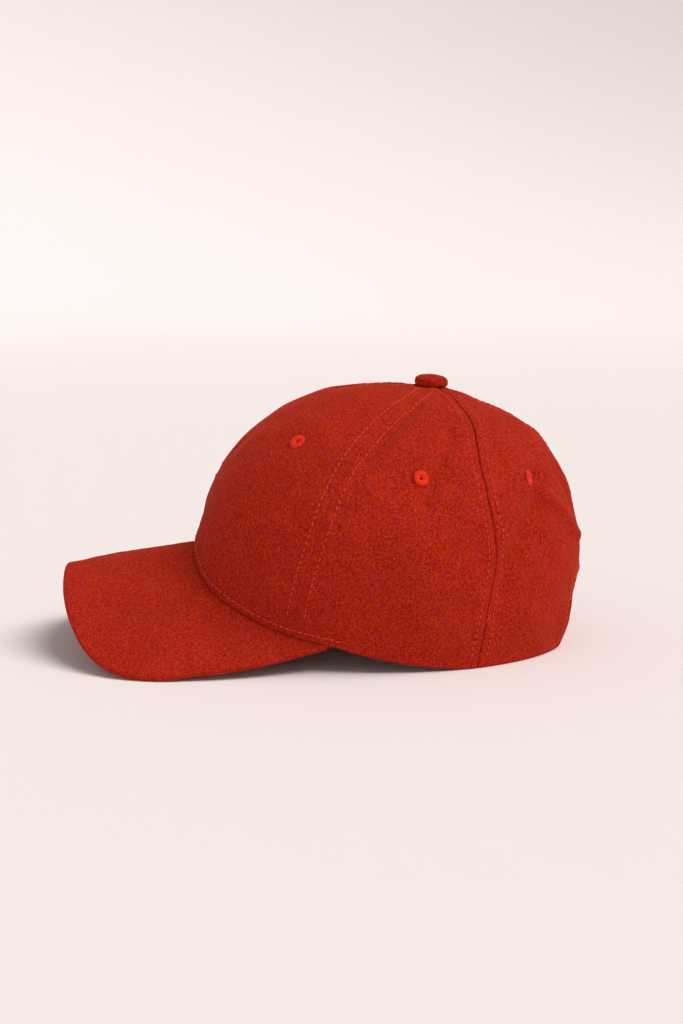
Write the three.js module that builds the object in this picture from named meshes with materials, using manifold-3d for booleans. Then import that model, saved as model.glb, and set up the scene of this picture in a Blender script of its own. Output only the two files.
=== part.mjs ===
import * as THREE from "three";
import Module from "manifold-3d";

// Six-panel baseball cap standing by itself on a floor.
// Millimetres, +Z up, the brim points to -Y, the wearer's left is +X.
// Everything is first placed from the middle of the head opening, then the group is centred.

const wasm = await Module();
wasm.setup();
const { Manifold, Mesh } = wasm;

// Main sizes
const HEAD_LENGTH = 196.9;
const HEAD_WIDTH = 167;
const CROWN_HEIGHT = 133;
const FRONT_LIFT = 52;
const APEX_BACK = 26.2;
const CLOTH = 1.8;
const GAP = 0.3;

// Brim sizes
const BRIM_REACH = 68.6;
const BRIM_WIDTH = 185;
const BRIM_THICKNESS = 3.2;
const BRIM_FALL = 11;
const BRIM_FALL_POWER = 1.2;
const BRIM_BACK_RISE = 0.1;
const BRIM_CREST_RADIUS = 34;
const EDGE_ROUND = 0.5;
const EDGE_LIMIT = 0.4;
const BRIM_CLEARANCE = 0.45;
const BRIM_TAIL_ANGLE = 72;
const REST_ANGLE = 117;
const FLANGE_HEIGHT = 9;
const FLANGE_THICKNESS = 1.6;
const FLANGE_EASE = 0.6;
const FLANGE_RISE_SHARE = 0.53;

// Panel seams
const SEAM_DEPTH = 0.7;
const SEAM_WIDTH = 2.4;
const PANEL_PUFF = 0.8;
const FADE_POWER = 0.5;
const SEAM_BOW_POWER = 1.5;

// Back opening and its strap
const OPENING_HALF_ANGLE = 25.5;
const OPENING_RISE = 0.215;
const OPENING_ROUNDNESS = 0.7;
const OPENING_CORNER = 0.36;
const STRAP_HEIGHT = 35;
const STRAP_OVERLAP_ANGLE = 9;
const STRAP_EASE = 0.9;
const STRAP_RISE_SHARE = 0.78;

// Eyelets
const EYELET_WIDTH = 8.4;
const EYELET_BORE = 1.8;
const EYELET_NECK = 4.6;
const EYELET_FLANGE = 1.0;
const EYELET_EASE = 0.65;
const HOLE_LENGTH = 7.2;

// Button on the crown's top
const BUTTON_WIDTH = 17.5;
const BUTTON_HEIGHT = 6.2;
const BUTTON_TILT = 5;
const SHANK_WIDTH = 3.6;
const INNER_DISC_WIDTH = 11;
const INNER_DISC_EASE = 1;
const INNER_DISC_THICKNESS = 1.5;
const AXIS_RADIUS = 0.05;
const CORE_SIDES = 8;

// How finely the surfaces are divided
const PANEL_COLUMNS = 12;
const BACK_COLUMNS = 17;
const PANEL_ROWS = 16;
const BRIM_COLUMNS = 36;
const BRIM_ROWS = 7;
const STRAP_COLUMNS = 20;
const STRAP_LEVELS = 5;
const PANEL_EASING = 0.72;
const BACK_EASING = 0.35;
const ROW_EASING = 0.3;
const RING_SIDES = 16;
const BUTTON_SIDES = 32;

// Colours
const RED = 0xa32a18;
const BRIGHT_RED = 0xe03c24;
const CLOTH_ROUGHNESS = 0.95;

const RADIANS = Math.PI / 180;
const NORMAL_STEP = 0.004;
const FACING_STEP = 0.02;
const SLOPE_SPAN = 1;
const DROP_PASSES = 6;
const UP = new THREE.Vector3(0, 0, 1);

// Crown profiles, from the head opening (progress 0) to the button (progress 1).
// Reach is the share of the plan distance from the button to the head opening.
// Rise is the share of the height from the head opening to the button.
const FRONT_PROFILE = [
  { at: 0, reach: 1, rise: 0 },
  { at: 0.083, reach: 0.97, rise: 0.134 },
  { at: 0.167, reach: 0.935, rise: 0.295 },
  { at: 0.25, reach: 0.894, rise: 0.451 },
  { at: 0.333, reach: 0.832, rise: 0.595 },
  { at: 0.417, reach: 0.749, rise: 0.723 },
  { at: 0.5, reach: 0.66, rise: 0.832 },
  { at: 0.583, reach: 0.56, rise: 0.913 },
  { at: 0.667, reach: 0.46, rise: 0.971 },
  { at: 0.75, reach: 0.347, rise: 1.005 },
  { at: 0.833, reach: 0.23, rise: 1.02 },
  { at: 0.917, reach: 0.115, rise: 1.014 },
  { at: 1, reach: 0, rise: 1 },
];
const SIDE_PROFILE = [
  { at: 0, reach: 1, rise: 0 },
  { at: 0.083, reach: 1.03, rise: 0.16 },
  { at: 0.167, reach: 1.036, rise: 0.315 },
  { at: 0.25, reach: 1.012, rise: 0.457 },
  { at: 0.333, reach: 0.957, rise: 0.58 },
  { at: 0.417, reach: 0.876, rise: 0.682 },
  { at: 0.5, reach: 0.781, rise: 0.763 },
  { at: 0.583, reach: 0.68, rise: 0.828 },
  { at: 0.667, reach: 0.572, rise: 0.881 },
  { at: 0.75, reach: 0.453, rise: 0.925 },
  { at: 0.833, reach: 0.317, rise: 0.96 },
  { at: 0.917, reach: 0.164, rise: 0.987 },
  { at: 1, reach: 0, rise: 1 },
];
const BACK_PROFILE = [
  { at: 0, reach: 1, rise: 0 },
  { at: 0.083, reach: 1.076, rise: 0.105 },
  { at: 0.167, reach: 1.083, rise: 0.215 },
  { at: 0.25, reach: 1.089, rise: 0.325 },
  { at: 0.333, reach: 1.079, rise: 0.435 },
  { at: 0.417, reach: 1.044, rise: 0.544 },
  { at: 0.5, reach: 0.979, rise: 0.649 },
  { at: 0.583, reach: 0.874, rise: 0.743 },
  { at: 0.667, reach: 0.741, rise: 0.826 },
  { at: 0.75, reach: 0.575, rise: 0.884 },
  { at: 0.833, reach: 0.392, rise: 0.928 },
  { at: 0.917, reach: 0.196, rise: 0.972 },
  { at: 1, reach: 0, rise: 1 },
];

// How far the head opening swells beyond a plain oval, by the angle from the front:
// the front is flatter and its corners are fuller. The swelling fades out up the crown.
const SWELL = [
  { turn: -15, out: 0.034 },
  { turn: 0, out: 0 },
  { turn: 15, out: 0.034 },
  { turn: 30, out: 0.064 },
  { turn: 45, out: 0.048 },
  { turn: 60, out: 0.03 },
  { turn: 75, out: 0.014 },
  { turn: 95, out: 0 },
  { turn: 120, out: 0 },
  { turn: 180, out: 0 },
];

// Height of the head opening behind the brim, as shares of the height at the brim's tail.
const RIM = [
  { across: 0.0, lift: 1.0 },
  { across: 0.16, lift: 0.71 },
  { across: 0.38, lift: 0.42 },
  { across: 0.6, lift: 0.175 },
  { across: 0.82, lift: 0.04 },
  { across: 1.0, lift: 0.0 },
];

// Outer edge of the brim in plan, from its tail (along 0) to its front (along 1).
// Aside is the share of half the brim's width, ahead the share of its reach before the crown's front.
const BRIM_OUTLINE = [
  { along: 0, aside: 0.87, ahead: -0.953 },
  { along: 0.12, aside: 0.926, ahead: -0.656 },
  { along: 0.25, aside: 0.975, ahead: -0.347 },
  { along: 0.37, aside: 1, ahead: -0.045 },
  { along: 0.5, aside: 0.995, ahead: 0.288 },
  { along: 0.62, aside: 0.897, ahead: 0.603 },
  { along: 0.74, aside: 0.696, ahead: 0.826 },
  { along: 0.87, aside: 0.378, ahead: 0.97 },
  { along: 1, aside: 0, ahead: 1 },
  { along: 1.13, aside: -0.378, ahead: 0.97 },
];

// Where the seams lie at each progress up the crown, as angles round the head opening from the front.
const SEAMS = [
  { at: 0, frontSide: 60.5, sideBack: 114.8 },
  { at: 0.25, frontSide: 68.1, sideBack: 120.3 },
  { at: 0.5, frontSide: 72.2, sideBack: 119.1 },
  { at: 0.75, frontSide: 78.7, sideBack: 123.8 },
  { at: 1, frontSide: 91.8, sideBack: 128.7 },
];

// Rounded outer edge of the brim: inward in shares of its rounding, down in shares of the thickness.
const EDGE = [
  { inward: 1, down: 0 },
  { inward: 0.3, down: 0.15 },
  { inward: 0, down: 0.5 },
  { inward: 0.3, down: 0.85 },
  { inward: 1, down: 1 },
];

// Soft folds and dents. Angles from the front at both ends, progress up the crown,
// half-width and depth in millimetres (a negative depth is a ridge). Both sides get the same.
const FOLDS = [
  { fromAngle: 141.5, fromUp: 0.42, toAngle: 123.8, toUp: 0.13, width: 7, depth: 2.2 },
  { fromAngle: 147.3, fromUp: 0.415, toAngle: 161.1, toUp: 0.35, width: 6, depth: -1.2 },
  { fromAngle: 160.2, fromUp: 0.47, toAngle: 168.3, toUp: 0.4, width: 6, depth: 1.2 },
  { fromAngle: 112.8, fromUp: 0.62, toAngle: 104.9, toUp: 0.4, width: 6.5, depth: 1.3 },
];

// A value between the rows of a table, on a smooth curve through them.
function lookup(table, key, column, value) {
  const last = table.length - 1;
  let row = 0;
  while (row < last - 1 && value > table[row + 1][key]) row += 1;
  const slope = (i, j) => (table[j][column] - table[i][column]) / (table[j][key] - table[i][key]);
  const span = table[row + 1][key] - table[row][key];
  const share = (value - table[row][key]) / span;
  const start = slope(Math.max(row - 1, 0), row + 1) * span;
  const end = slope(row, Math.min(row + 2, last)) * span;
  const s2 = share * share;
  const s3 = s2 * share;
  return (
    table[row][column] * (2 * s3 - 3 * s2 + 1) +
    start * (s3 - 2 * s2 + share) +
    table[row + 1][column] * (3 * s2 - 2 * s3) +
    end * (s3 - s2)
  );
}

const halfLength = HEAD_LENGTH / 2;
const halfWidth = HEAD_WIDTH / 2;
const halfBrim = BRIM_WIDTH / 2;
const holeRadius = SHANK_WIDTH / 2 + GAP;

// The oval that the crown follows at an angle from the front and a progress up the crown.
function ovalAt(angle, up = 0) {
  const turn = Math.acos(Math.cos(angle)) / RADIANS;
  const swell = 1 + lookup(SWELL, "turn", "out", turn) * (1 - up);
  return [halfWidth * swell * Math.sin(angle), -halfLength * swell * Math.cos(angle)];
}

// Top of the brim: a crest that falls to the front and drops to both sides.
// The drop is the one that sets the brim's side edges on the floor.
const crestAt = (y) => {
  const ahead = (-y - halfLength) / BRIM_REACH;
  const fall = BRIM_FALL * Math.abs(ahead) ** BRIM_FALL_POWER;
  return FRONT_LIFT - BRIM_CLEARANCE - (ahead > 0 ? fall : -BRIM_BACK_RISE * fall);
};
const bend = (x) => Math.hypot(x, BRIM_CREST_RADIUS) - BRIM_CREST_RADIUS;

// A point depth millimetres under the brim's top, for a given drop to the sides.
function underBrim(x, y, depth, drop) {
  const top = (atX, atY) => crestAt(atY) - drop * bend(atX);
  const half = SLOPE_SPAN / 2;
  const slopeX = (top(x + half, y) - top(x - half, y)) / SLOPE_SPAN;
  const slopeY = (top(x, y + half) - top(x, y - half)) / SLOPE_SPAN;
  const normal = new THREE.Vector3(-slopeX, -slopeY, 1).normalize();
  return new THREE.Vector3(x, y, top(x, y)).addScaledVector(normal, -depth);
}

// One section of the brim, across from -1 (right tail) to 1 (left tail).
// Its points are found by the share of the way out and the share of the thickness down.
function brimSection(across, drop) {
  const turn = across * BRIM_TAIL_ANGLE * RADIANS;
  const inset = CLOTH + FLANGE_EASE;
  const [rimX, rimY] = ovalAt(turn);
  const innerX = rimX * (1 - inset / halfWidth);
  const innerY = rimY * (1 - inset / halfLength);
  const along = 1 - Math.abs(across);
  const outerX = Math.sign(across) * halfBrim * lookup(BRIM_OUTLINE, "along", "aside", along);
  const outerY = -halfLength - BRIM_REACH * lookup(BRIM_OUTLINE, "along", "ahead", along);
  const width = Math.hypot(outerX - innerX, outerY - innerY);
  const round = Math.min(EDGE_LIMIT, (BRIM_THICKNESS * EDGE_ROUND) / width);
  const at = (share, down) => {
    const x = innerX + (outerX - innerX) * share;
    const y = innerY + (outerY - innerY) * share;
    return underBrim(x, y, down * BRIM_THICKNESS, drop);
  };
  const edge = EDGE.map(({ inward, down }) => at(1 - inward * round, down));
  return { turn, round, at, edge };
}

function brimLowest(drop) {
  let lowest = FRONT_LIFT;
  for (let c = 0; c <= BRIM_COLUMNS; c += 1) {
    const { edge } = brimSection(-1 + (2 * c) / BRIM_COLUMNS, drop);
    lowest = Math.min(lowest, ...edge.map((point) => point.z));
  }
  return lowest;
}

let brimDrop = (FRONT_LIFT - BRIM_THICKNESS) / bend(halfBrim);
for (let pass = 0; pass < DROP_PASSES; pass += 1) brimDrop += brimLowest(brimDrop) / bend(halfBrim);
const brimTop = (x, y) => crestAt(y) - brimDrop * bend(x);

// The head opening: lifted at the front by the brim and flat on the floor at the back.
function rimHeight(angle) {
  const turn = Math.acos(Math.cos(angle)) / RADIANS;
  const tail = Math.min(turn, BRIM_TAIL_ANGLE) * RADIANS;
  const [x, y] = ovalAt(tail);
  const onBrim = brimTop(x, y) + BRIM_CLEARANCE;
  if (turn <= BRIM_TAIL_ANGLE) return onBrim;
  const across = (turn - BRIM_TAIL_ANGLE) / (REST_ANGLE - BRIM_TAIL_ANGLE);
  return across >= 1 ? 0 : Math.max(0, onBrim * lookup(RIM, "across", "lift", across));
}

// Crown surface without its seams and folds.
function plainCrown(angle, up) {
  const cos = Math.cos(angle);
  const side = 1 - cos * cos;
  const end = cos > 0 ? FRONT_PROFILE : BACK_PROFILE;
  const mixed = (column) =>
    side * lookup(SIDE_PROFILE, "at", column, up) + (1 - side) * lookup(end, "at", column, up);
  const [rimX, rimY] = ovalAt(angle, up);
  const offsetY = rimY - APEX_BACK;
  const least = holeRadius / Math.hypot(rimX, offsetY);
  const reach = least + (1 - least) * mixed("reach");
  const low = rimHeight(angle);
  const rise = low + (CROWN_HEIGHT - low) * mixed("rise");
  return new THREE.Vector3(rimX * reach, APEX_BACK + offsetY * reach, rise);
}

function plainNormal(angle, up) {
  const lowUp = Math.max(0, up - NORMAL_STEP);
  const highUp = Math.min(1, up + NORMAL_STEP);
  const across = plainCrown(angle + NORMAL_STEP, up).sub(plainCrown(angle - NORMAL_STEP, up));
  const along = plainCrown(angle, highUp).sub(plainCrown(angle, lowUp));
  return across.cross(along).normalize();
}

// The four seam angles on one side at a progress up the crown.
const seamsAt = (up) => [0, lookup(SEAMS, "at", "frontSide", up), lookup(SEAMS, "at", "sideBack", up), 180];

// How far the surface stands off the plain crown: puffed panels, sunk seams, soft folds.
function standOff(angle, up) {
  const turn = Math.acos(Math.cos(angle));
  const here = plainCrown(angle, up);
  const radius = Math.hypot(here.x, here.y - APEX_BACK);
  const seams = seamsAt(up).map((degrees) => degrees * RADIANS);
  const nearest = Math.min(...seams.map((seam) => Math.abs(turn - seam) * radius));
  const after = Math.max(1, seams.findIndex((seam) => turn <= seam));
  const share = (turn - seams[after - 1]) / (seams[after] - seams[after - 1]);
  const fade = Math.sin(Math.PI * Math.min(1, up)) ** FADE_POWER;
  let off = PANEL_PUFF * Math.sin(Math.PI * share) * fade;
  off -= SEAM_DEPTH * Math.exp(-((nearest / SEAM_WIDTH) ** 2)) * fade;
  for (const fold of FOLDS) {
    const low = plainCrown(fold.fromAngle * RADIANS, fold.fromUp);
    const high = plainCrown(fold.toAngle * RADIANS, fold.toUp);
    const line = new THREE.Line3(low, high);
    const mirrored = new THREE.Vector3(Math.abs(here.x), here.y, here.z);
    const near = line.closestPointToPoint(mirrored, true, new THREE.Vector3());
    off -= fold.depth * Math.exp(-((near.distanceTo(mirrored) / fold.width) ** 2)) * fade;
  }
  return off;
}

// A point of the crown, depth millimetres below its outer face.
function crown(angle, up, depth = 0) {
  const normal = plainNormal(angle, up);
  if (up > 0) return plainCrown(angle, up).addScaledVector(normal, standOff(angle, up) - depth);
  normal.setZ(0).normalize();
  const edge = plainCrown(angle, up);
  const slopeZ = brimTop(edge.x - normal.x * depth, edge.y - normal.y * depth) - brimTop(edge.x, edge.y);
  const turn = Math.acos(Math.cos(angle)) / RADIANS;
  const share = Math.min(1, Math.max(0, (REST_ANGLE - turn) / (REST_ANGLE - BRIM_TAIL_ANGLE)));
  return edge.addScaledVector(normal, -depth).add(new THREE.Vector3(0, 0, slopeZ * share));
}

// Outward normal of the folded surface over about an eyelet's width.
function facing(angle, up) {
  const step = FACING_STEP;
  const across = crown(angle + step, up).sub(crown(angle - step, up));
  const along = crown(angle, up + step).sub(crown(angle, up - step));
  return across.cross(along).normalize();
}

// Closes a strip of rings (each a closed loop of points) with a cap at both ends into one solid.
function sweep(rings) {
  const positions = [];
  const faces = [];
  const count = rings[0].length;
  for (const ring of rings) for (const p of ring) positions.push(p.x, p.y, p.z);
  for (let r = 0; r + 1 < rings.length; r += 1) {
    for (let i = 0; i < count; i += 1) {
      const a = r * count + i;
      const b = r * count + ((i + 1) % count);
      faces.push(a, b, b + count, a, b + count, a + count);
    }
  }
  const last = (rings.length - 1) * count;
  for (const [start, flip] of [[0, true], [last, false]]) {
    for (let i = 1; i < count / 2; i += 1) {
      const quad = [i - 1, i, count - 1 - i, count - i].map((k) => start + (k % count));
      const [a, b, c, d] = quad;
      const pair = i - 1 === 0 ? [] : [[a, c, d]];
      pair.push([a, b, c]);
      if (i - 1 === 0) pair.push([a, c, d]);
      for (const t of pair) {
        if (new Set(t).size < 3) continue;
        faces.push(...(flip ? [t[0], t[2], t[1]] : t));
      }
    }
  }
  return solid(positions, faces);
}

function solid(positions, faces) {
  const make = (order) =>
    new Manifold(
      new Mesh({ numProp: 3, vertProperties: new Float32Array(positions), triVerts: new Uint32Array(order) }),
    );
  const made = make(faces);
  if (made.volume() > 0) return made;
  const turned = [];
  for (let i = 0; i < faces.length; i += 3) turned.push(faces[i], faces[i + 2], faces[i + 1]);
  return make(turned);
}

// A sheet between two grids of points, outer and inner, closed round its edge.
function sheet(outer, inner) {
  const rows = outer.length;
  const columns = outer[0].length;
  const positions = [];
  for (const p of [...outer, ...inner].flat()) positions.push(p.x, p.y, p.z);
  const at = (layer, r, c) => layer * rows * columns + r * columns + c;
  const faces = [];
  for (let r = 0; r + 1 < rows; r += 1) {
    for (let c = 0; c + 1 < columns; c += 1) {
      faces.push(at(0, r, c), at(0, r, c + 1), at(0, r + 1, c + 1));
      faces.push(at(0, r, c), at(0, r + 1, c + 1), at(0, r + 1, c));
      faces.push(at(1, r, c), at(1, r + 1, c + 1), at(1, r, c + 1));
      faces.push(at(1, r, c), at(1, r + 1, c), at(1, r + 1, c + 1));
    }
  }
  const rim = [];
  for (let c = 0; c < columns; c += 1) rim.push([0, c]);
  for (let r = 1; r < rows; r += 1) rim.push([r, columns - 1]);
  for (let c = columns - 2; c >= 0; c -= 1) rim.push([rows - 1, c]);
  for (let r = rows - 2; r > 0; r -= 1) rim.push([r, 0]);
  rim.forEach(([r, c], i) => {
    const [r2, c2] = rim[(i + 1) % rim.length];
    faces.push(at(0, r, c), at(1, r, c), at(1, r2, c2));
    faces.push(at(0, r, c), at(1, r2, c2), at(0, r2, c2));
  });
  return solid(positions, faces);
}

// Columns and rows are closer together near the seams, the rim and the top.
const eased = (i, count, strength) => {
  const share = i / count;
  return share - (strength * Math.sin(2 * Math.PI * share)) / (2 * Math.PI);
};

// Where a panel's grid point lies: angle round the head opening and progress up the crown.
// The back panels start from the half-moon opening's edge instead of the rim.
function panelPoint(number, across, upward) {
  if (number < 2) {
    const seams = seamsAt(upward);
    return [seams[number] + (seams[number + 1] - seams[number]) * across, upward];
  }
  const corner = OPENING_CORNER;
  const from = seamsAt(0)[number];
  const edge = 180 - OPENING_HALF_ANGLE;
  const beyond = Math.max(0, (across - corner) / (1 - corner)) * (Math.PI / 2);
  const rise = OPENING_RISE * Math.sin(beyond) ** OPENING_ROUNDNESS;
  const onArch = 180 - OPENING_HALF_ANGLE * Math.max(0, Math.cos(beyond)) ** OPENING_ROUNDNESS;
  const low = across <= corner ? from + ((edge - from) * across) / corner : onArch;
  const up = rise + (1 - rise) * upward;
  const topSeam = seamsAt(1)[number];
  const high = topSeam + (180 - topSeam) * across;
  const straight = from + (topSeam - from) * upward;
  const bow = (seamsAt(upward)[number] - straight) * (1 - across) ** SEAM_BOW_POWER;
  return [low + (high - low) * upward + bow, up];
}

function panel(number) {
  const columns = number < 2 ? PANEL_COLUMNS : BACK_COLUMNS;
  const easing = number < 2 ? PANEL_EASING : BACK_EASING;
  const grids = [0, CLOTH].map((depth) => {
    const rows = [];
    for (let r = 0; r <= PANEL_ROWS; r += 1) {
      const row = [];
      for (let c = 0; c <= columns; c += 1) {
        const across = eased(c, columns, easing);
        const [degrees, up] = panelPoint(number, across, eased(r, PANEL_ROWS, ROW_EASING));
        const angle = degrees * RADIANS;
        const p = crown(angle, up, depth);
        const shift = (c === 0 ? 1 : c === columns ? -1 : 0) * (GAP / 2);
        if (shift) {
          const tangent = new THREE.Vector3(-(p.y - APEX_BACK), p.x, 0).normalize();
          p.addScaledVector(tangent, shift);
        }
        row.push(p);
      }
      rows.push(row);
    }
    return rows;
  });
  return sheet(grids[0], grids[1]);
}

// Solid of revolution from a closed profile of [radius, height] pairs.
function turned(profile, sides) {
  const positions = [];
  const faces = [];
  const count = profile.length;
  for (let s = 0; s < sides; s += 1) {
    const angle = (s / sides) * 2 * Math.PI;
    for (const [radius, height] of profile) {
      positions.push(radius * Math.cos(angle), radius * Math.sin(angle), height);
    }
  }
  for (let s = 0; s < sides; s += 1) {
    for (let i = 0; i < count; i += 1) {
      const a = s * count + i;
      const b = s * count + ((i + 1) % count);
      const c = ((s + 1) % sides) * count + ((i + 1) % count);
      const d = ((s + 1) % sides) * count + i;
      faces.push(a, d, c, a, c, b);
    }
  }
  return solid(positions, faces);
}

// Places a piece made along +Z at a point of the crown, +Z along the outward normal.
function placed(made, point, normal) {
  const turn = new THREE.Quaternion().setFromUnitVectors(UP, normal);
  const matrix = new THREE.Matrix4().compose(point, turn, new THREE.Vector3(1, 1, 1));
  return made.transform(matrix.elements);
}

const mirrored = (made) => made.mirror([1, 0, 0]);

// Eyelets: angle from the front and progress up the crown.
const EYELETS = [
  { panel: "front", angle: 46, up: 0.487 },
  { panel: "side", angle: 96.8, up: 0.439 },
  { panel: "back", angle: 140, up: 0.49 },
];

// Section of an eyelet's flange. Place is 0 at the bore, 1 at the neck and 2 at the outer edge,
// rise the share of the flange's thickness.
const EYELET_SECTION = [
  { place: 0, rise: 0 },
  { place: 0.4, rise: 0.8 },
  { place: 1, rise: 1 },
  { place: 1.84, rise: 0.75 },
  { place: 2, rise: 0 },
];

// A ring of thread with a flange on both faces of the cloth.
function eyeletRing() {
  const bore = EYELET_BORE / 2;
  const neck = EYELET_NECK / 2;
  const wide = EYELET_WIDTH / 2;
  const over = GAP;
  const under = -CLOTH - GAP - EYELET_EASE;
  const radiusAt = (place) =>
    place <= 1 ? bore + (neck - bore) * place : neck + (wide - neck) * (place - 1);
  const outer = EYELET_SECTION.map(({ place, rise }) => [radiusAt(place), over + rise * EYELET_FLANGE]);
  const inner = EYELET_SECTION.map(({ place, rise }) => [radiusAt(place), under - rise * EYELET_FLANGE]);
  return turned([...outer, [neck, over], [neck, under], ...inner.reverse()], RING_SIDES);
}

function eyeletHole() {
  return Manifold.cylinder(HOLE_LENGTH, EYELET_NECK / 2 + GAP, EYELET_NECK / 2 + GAP, RING_SIDES, true);
}

// Section of the button's pillow, from its underside to its top:
// out is the share of half its width, up the share of its height.
const BUTTON_SECTION = [
  { out: 0.9, up: 0 },
  { out: 0.975, up: 0.08 },
  { out: 1, up: 0.3 },
  { out: 0.97, up: 0.52 },
  { out: 0.88, up: 0.72 },
  { out: 0.7, up: 0.87 },
  { out: 0.45, up: 0.96 },
  { out: 0.2, up: 1 },
];

// Covered button: a pillow-shaped cap above the crown, a shank and a plain disc inside.
function button() {
  const wide = BUTTON_WIDTH / 2;
  const shank = SHANK_WIDTH / 2;
  const disc = INNER_DISC_WIDTH / 2;
  const round = INNER_DISC_THICKNESS / 3;
  const base = 2 * GAP;
  const top = base + BUTTON_HEIGHT;
  const discTop = -CLOTH - GAP - INNER_DISC_EASE;
  const discFoot = discTop - INNER_DISC_THICKNESS;
  const pillow = BUTTON_SECTION.map(({ out, up }) => [out * wide, base + up * BUTTON_HEIGHT]);
  const made = turned(
    [
      [AXIS_RADIUS, top],
      [AXIS_RADIUS, discFoot],
      [disc - round, discFoot],
      [disc, (discTop + discFoot) / 2],
      [disc - round, discTop],
      [shank, discTop],
      [shank, base],
      ...pillow,
    ],
    BUTTON_SIDES,
  );
  const core = Manifold.cylinder(top - discFoot, 2 * AXIS_RADIUS, 2 * AXIS_RADIUS, CORE_SIDES);
  return made.add(core.translate([0, 0, discFoot]));
}

// Brim with its rounded outer edge and the seam edge turned up inside the crown.
function brim() {
  const rings = [];
  for (let c = 0; c <= BRIM_COLUMNS; c += 1) {
    const { turn, round, at, edge } = brimSection(-1 + (2 * c) / BRIM_COLUMNS, brimDrop);
    const inset = CLOTH + FLANGE_EASE;
    const rise = (FLANGE_HEIGHT / (CROWN_HEIGHT - rimHeight(turn))) * FLANGE_RISE_SHARE;
    const foot = crown(turn, 0, inset);
    const innerFoot = crown(turn, 0, inset + FLANGE_THICKNESS);
    const ring = [crown(turn, rise, inset), new THREE.Vector3(foot.x, foot.y, brimTop(foot.x, foot.y))];
    for (let r = 1; r < BRIM_ROWS; r += 1) ring.push(at(((1 - round) * r) / BRIM_ROWS, 0));
    ring.push(...edge);
    for (let r = BRIM_ROWS - 1; r >= 1; r -= 1) ring.push(at(((1 - round) * r) / BRIM_ROWS, 1));
    ring.push(underBrim(innerFoot.x, innerFoot.y, BRIM_THICKNESS, brimDrop));
    ring.push(crown(turn, rise, inset + FLANGE_THICKNESS));
    rings.push(ring);
  }
  return sweep(rings);
}

// Strap behind the half-moon opening, following the inside of the back panels.
function strap() {
  const reach = OPENING_HALF_ANGLE + STRAP_OVERLAP_ANGLE;
  const rings = [];
  const levels = STRAP_LEVELS;
  for (let c = 0; c <= STRAP_COLUMNS; c += 1) {
    const degrees = 180 - reach + (2 * reach * c) / STRAP_COLUMNS;
    const angle = degrees * RADIANS;
    const ring = [];
    const at = (level, depth) => {
      const up = ((STRAP_HEIGHT / CROWN_HEIGHT) * STRAP_RISE_SHARE * level) / levels;
      return crown(angle, up, depth);
    };
    for (let l = 0; l <= levels; l += 1) ring.push(at(l, CLOTH + STRAP_EASE));
    for (let l = levels; l >= 0; l -= 1) ring.push(at(l, 2 * CLOTH + STRAP_EASE));
    rings.push(ring);
  }
  return sweep(rings);
}

const pieces = new Map();
["front", "side", "back"].forEach((name, number) => {
  const eyelet = EYELETS.find((row) => row.panel === name);
  const point = crown(eyelet.angle * RADIANS, eyelet.up);
  const normal = facing(eyelet.angle * RADIANS, eyelet.up);
  const left = panel(number).subtract(placed(eyeletHole(), point, normal));
  const ring = placed(eyeletRing(), point, normal);
  pieces.set("crown_" + name + "_left", { made: left, color: RED });
  pieces.set("crown_" + name + "_right", { made: mirrored(left), color: RED });
  pieces.set("eyelet_" + name + "_left", { made: ring, color: BRIGHT_RED });
  pieces.set("eyelet_" + name + "_right", { made: mirrored(ring), color: BRIGHT_RED });
});
const buttonUp = new THREE.Vector3(0, Math.sin(BUTTON_TILT * RADIANS), Math.cos(BUTTON_TILT * RADIANS));
const buttonSpot = new THREE.Vector3(0, APEX_BACK, CROWN_HEIGHT);
pieces.set("top_button", { made: placed(button(), buttonSpot, buttonUp), color: RED });
pieces.set("brim", { made: brim(), color: RED });
pieces.set("back_strap", { made: strap(), color: RED });

function meshOf(name, made, color) {
  const data = made.getMesh();
  const geometry = new THREE.BufferGeometry();
  geometry.setAttribute("position", new THREE.BufferAttribute(data.vertProperties, 3));
  geometry.setIndex(new THREE.BufferAttribute(data.triVerts, 1));
  geometry.computeVertexNormals();
  const material = new THREE.MeshStandardMaterial({ color, roughness: CLOTH_ROUGHNESS, metalness: 0 });
  const mesh = new THREE.Mesh(geometry, material);
  mesh.name = name;
  return mesh;
}

const cap = new THREE.Group();
cap.name = "baseball_cap";
for (const [name, { made, color }] of pieces) cap.add(meshOf(name, made, color));
const box = new THREE.Box3().setFromObject(cap, true);
const middle = box.getCenter(new THREE.Vector3());
for (const mesh of cap.children) mesh.geometry.translate(-middle.x, -middle.y, -box.min.z);

export default cap;
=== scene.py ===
"""Looks of a six-panel baseball cap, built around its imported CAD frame.

Lengths inside this script are millimetres in the crown's own frame: +Z up, the brim points to -Y,
the wearer's left is +X, and the origin is the middle of the head opening on the floor.
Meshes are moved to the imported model's frame, in metres, when they are made.
"""

import math

import bpy
import numpy as np
from mathutils import Matrix, Vector


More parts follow.
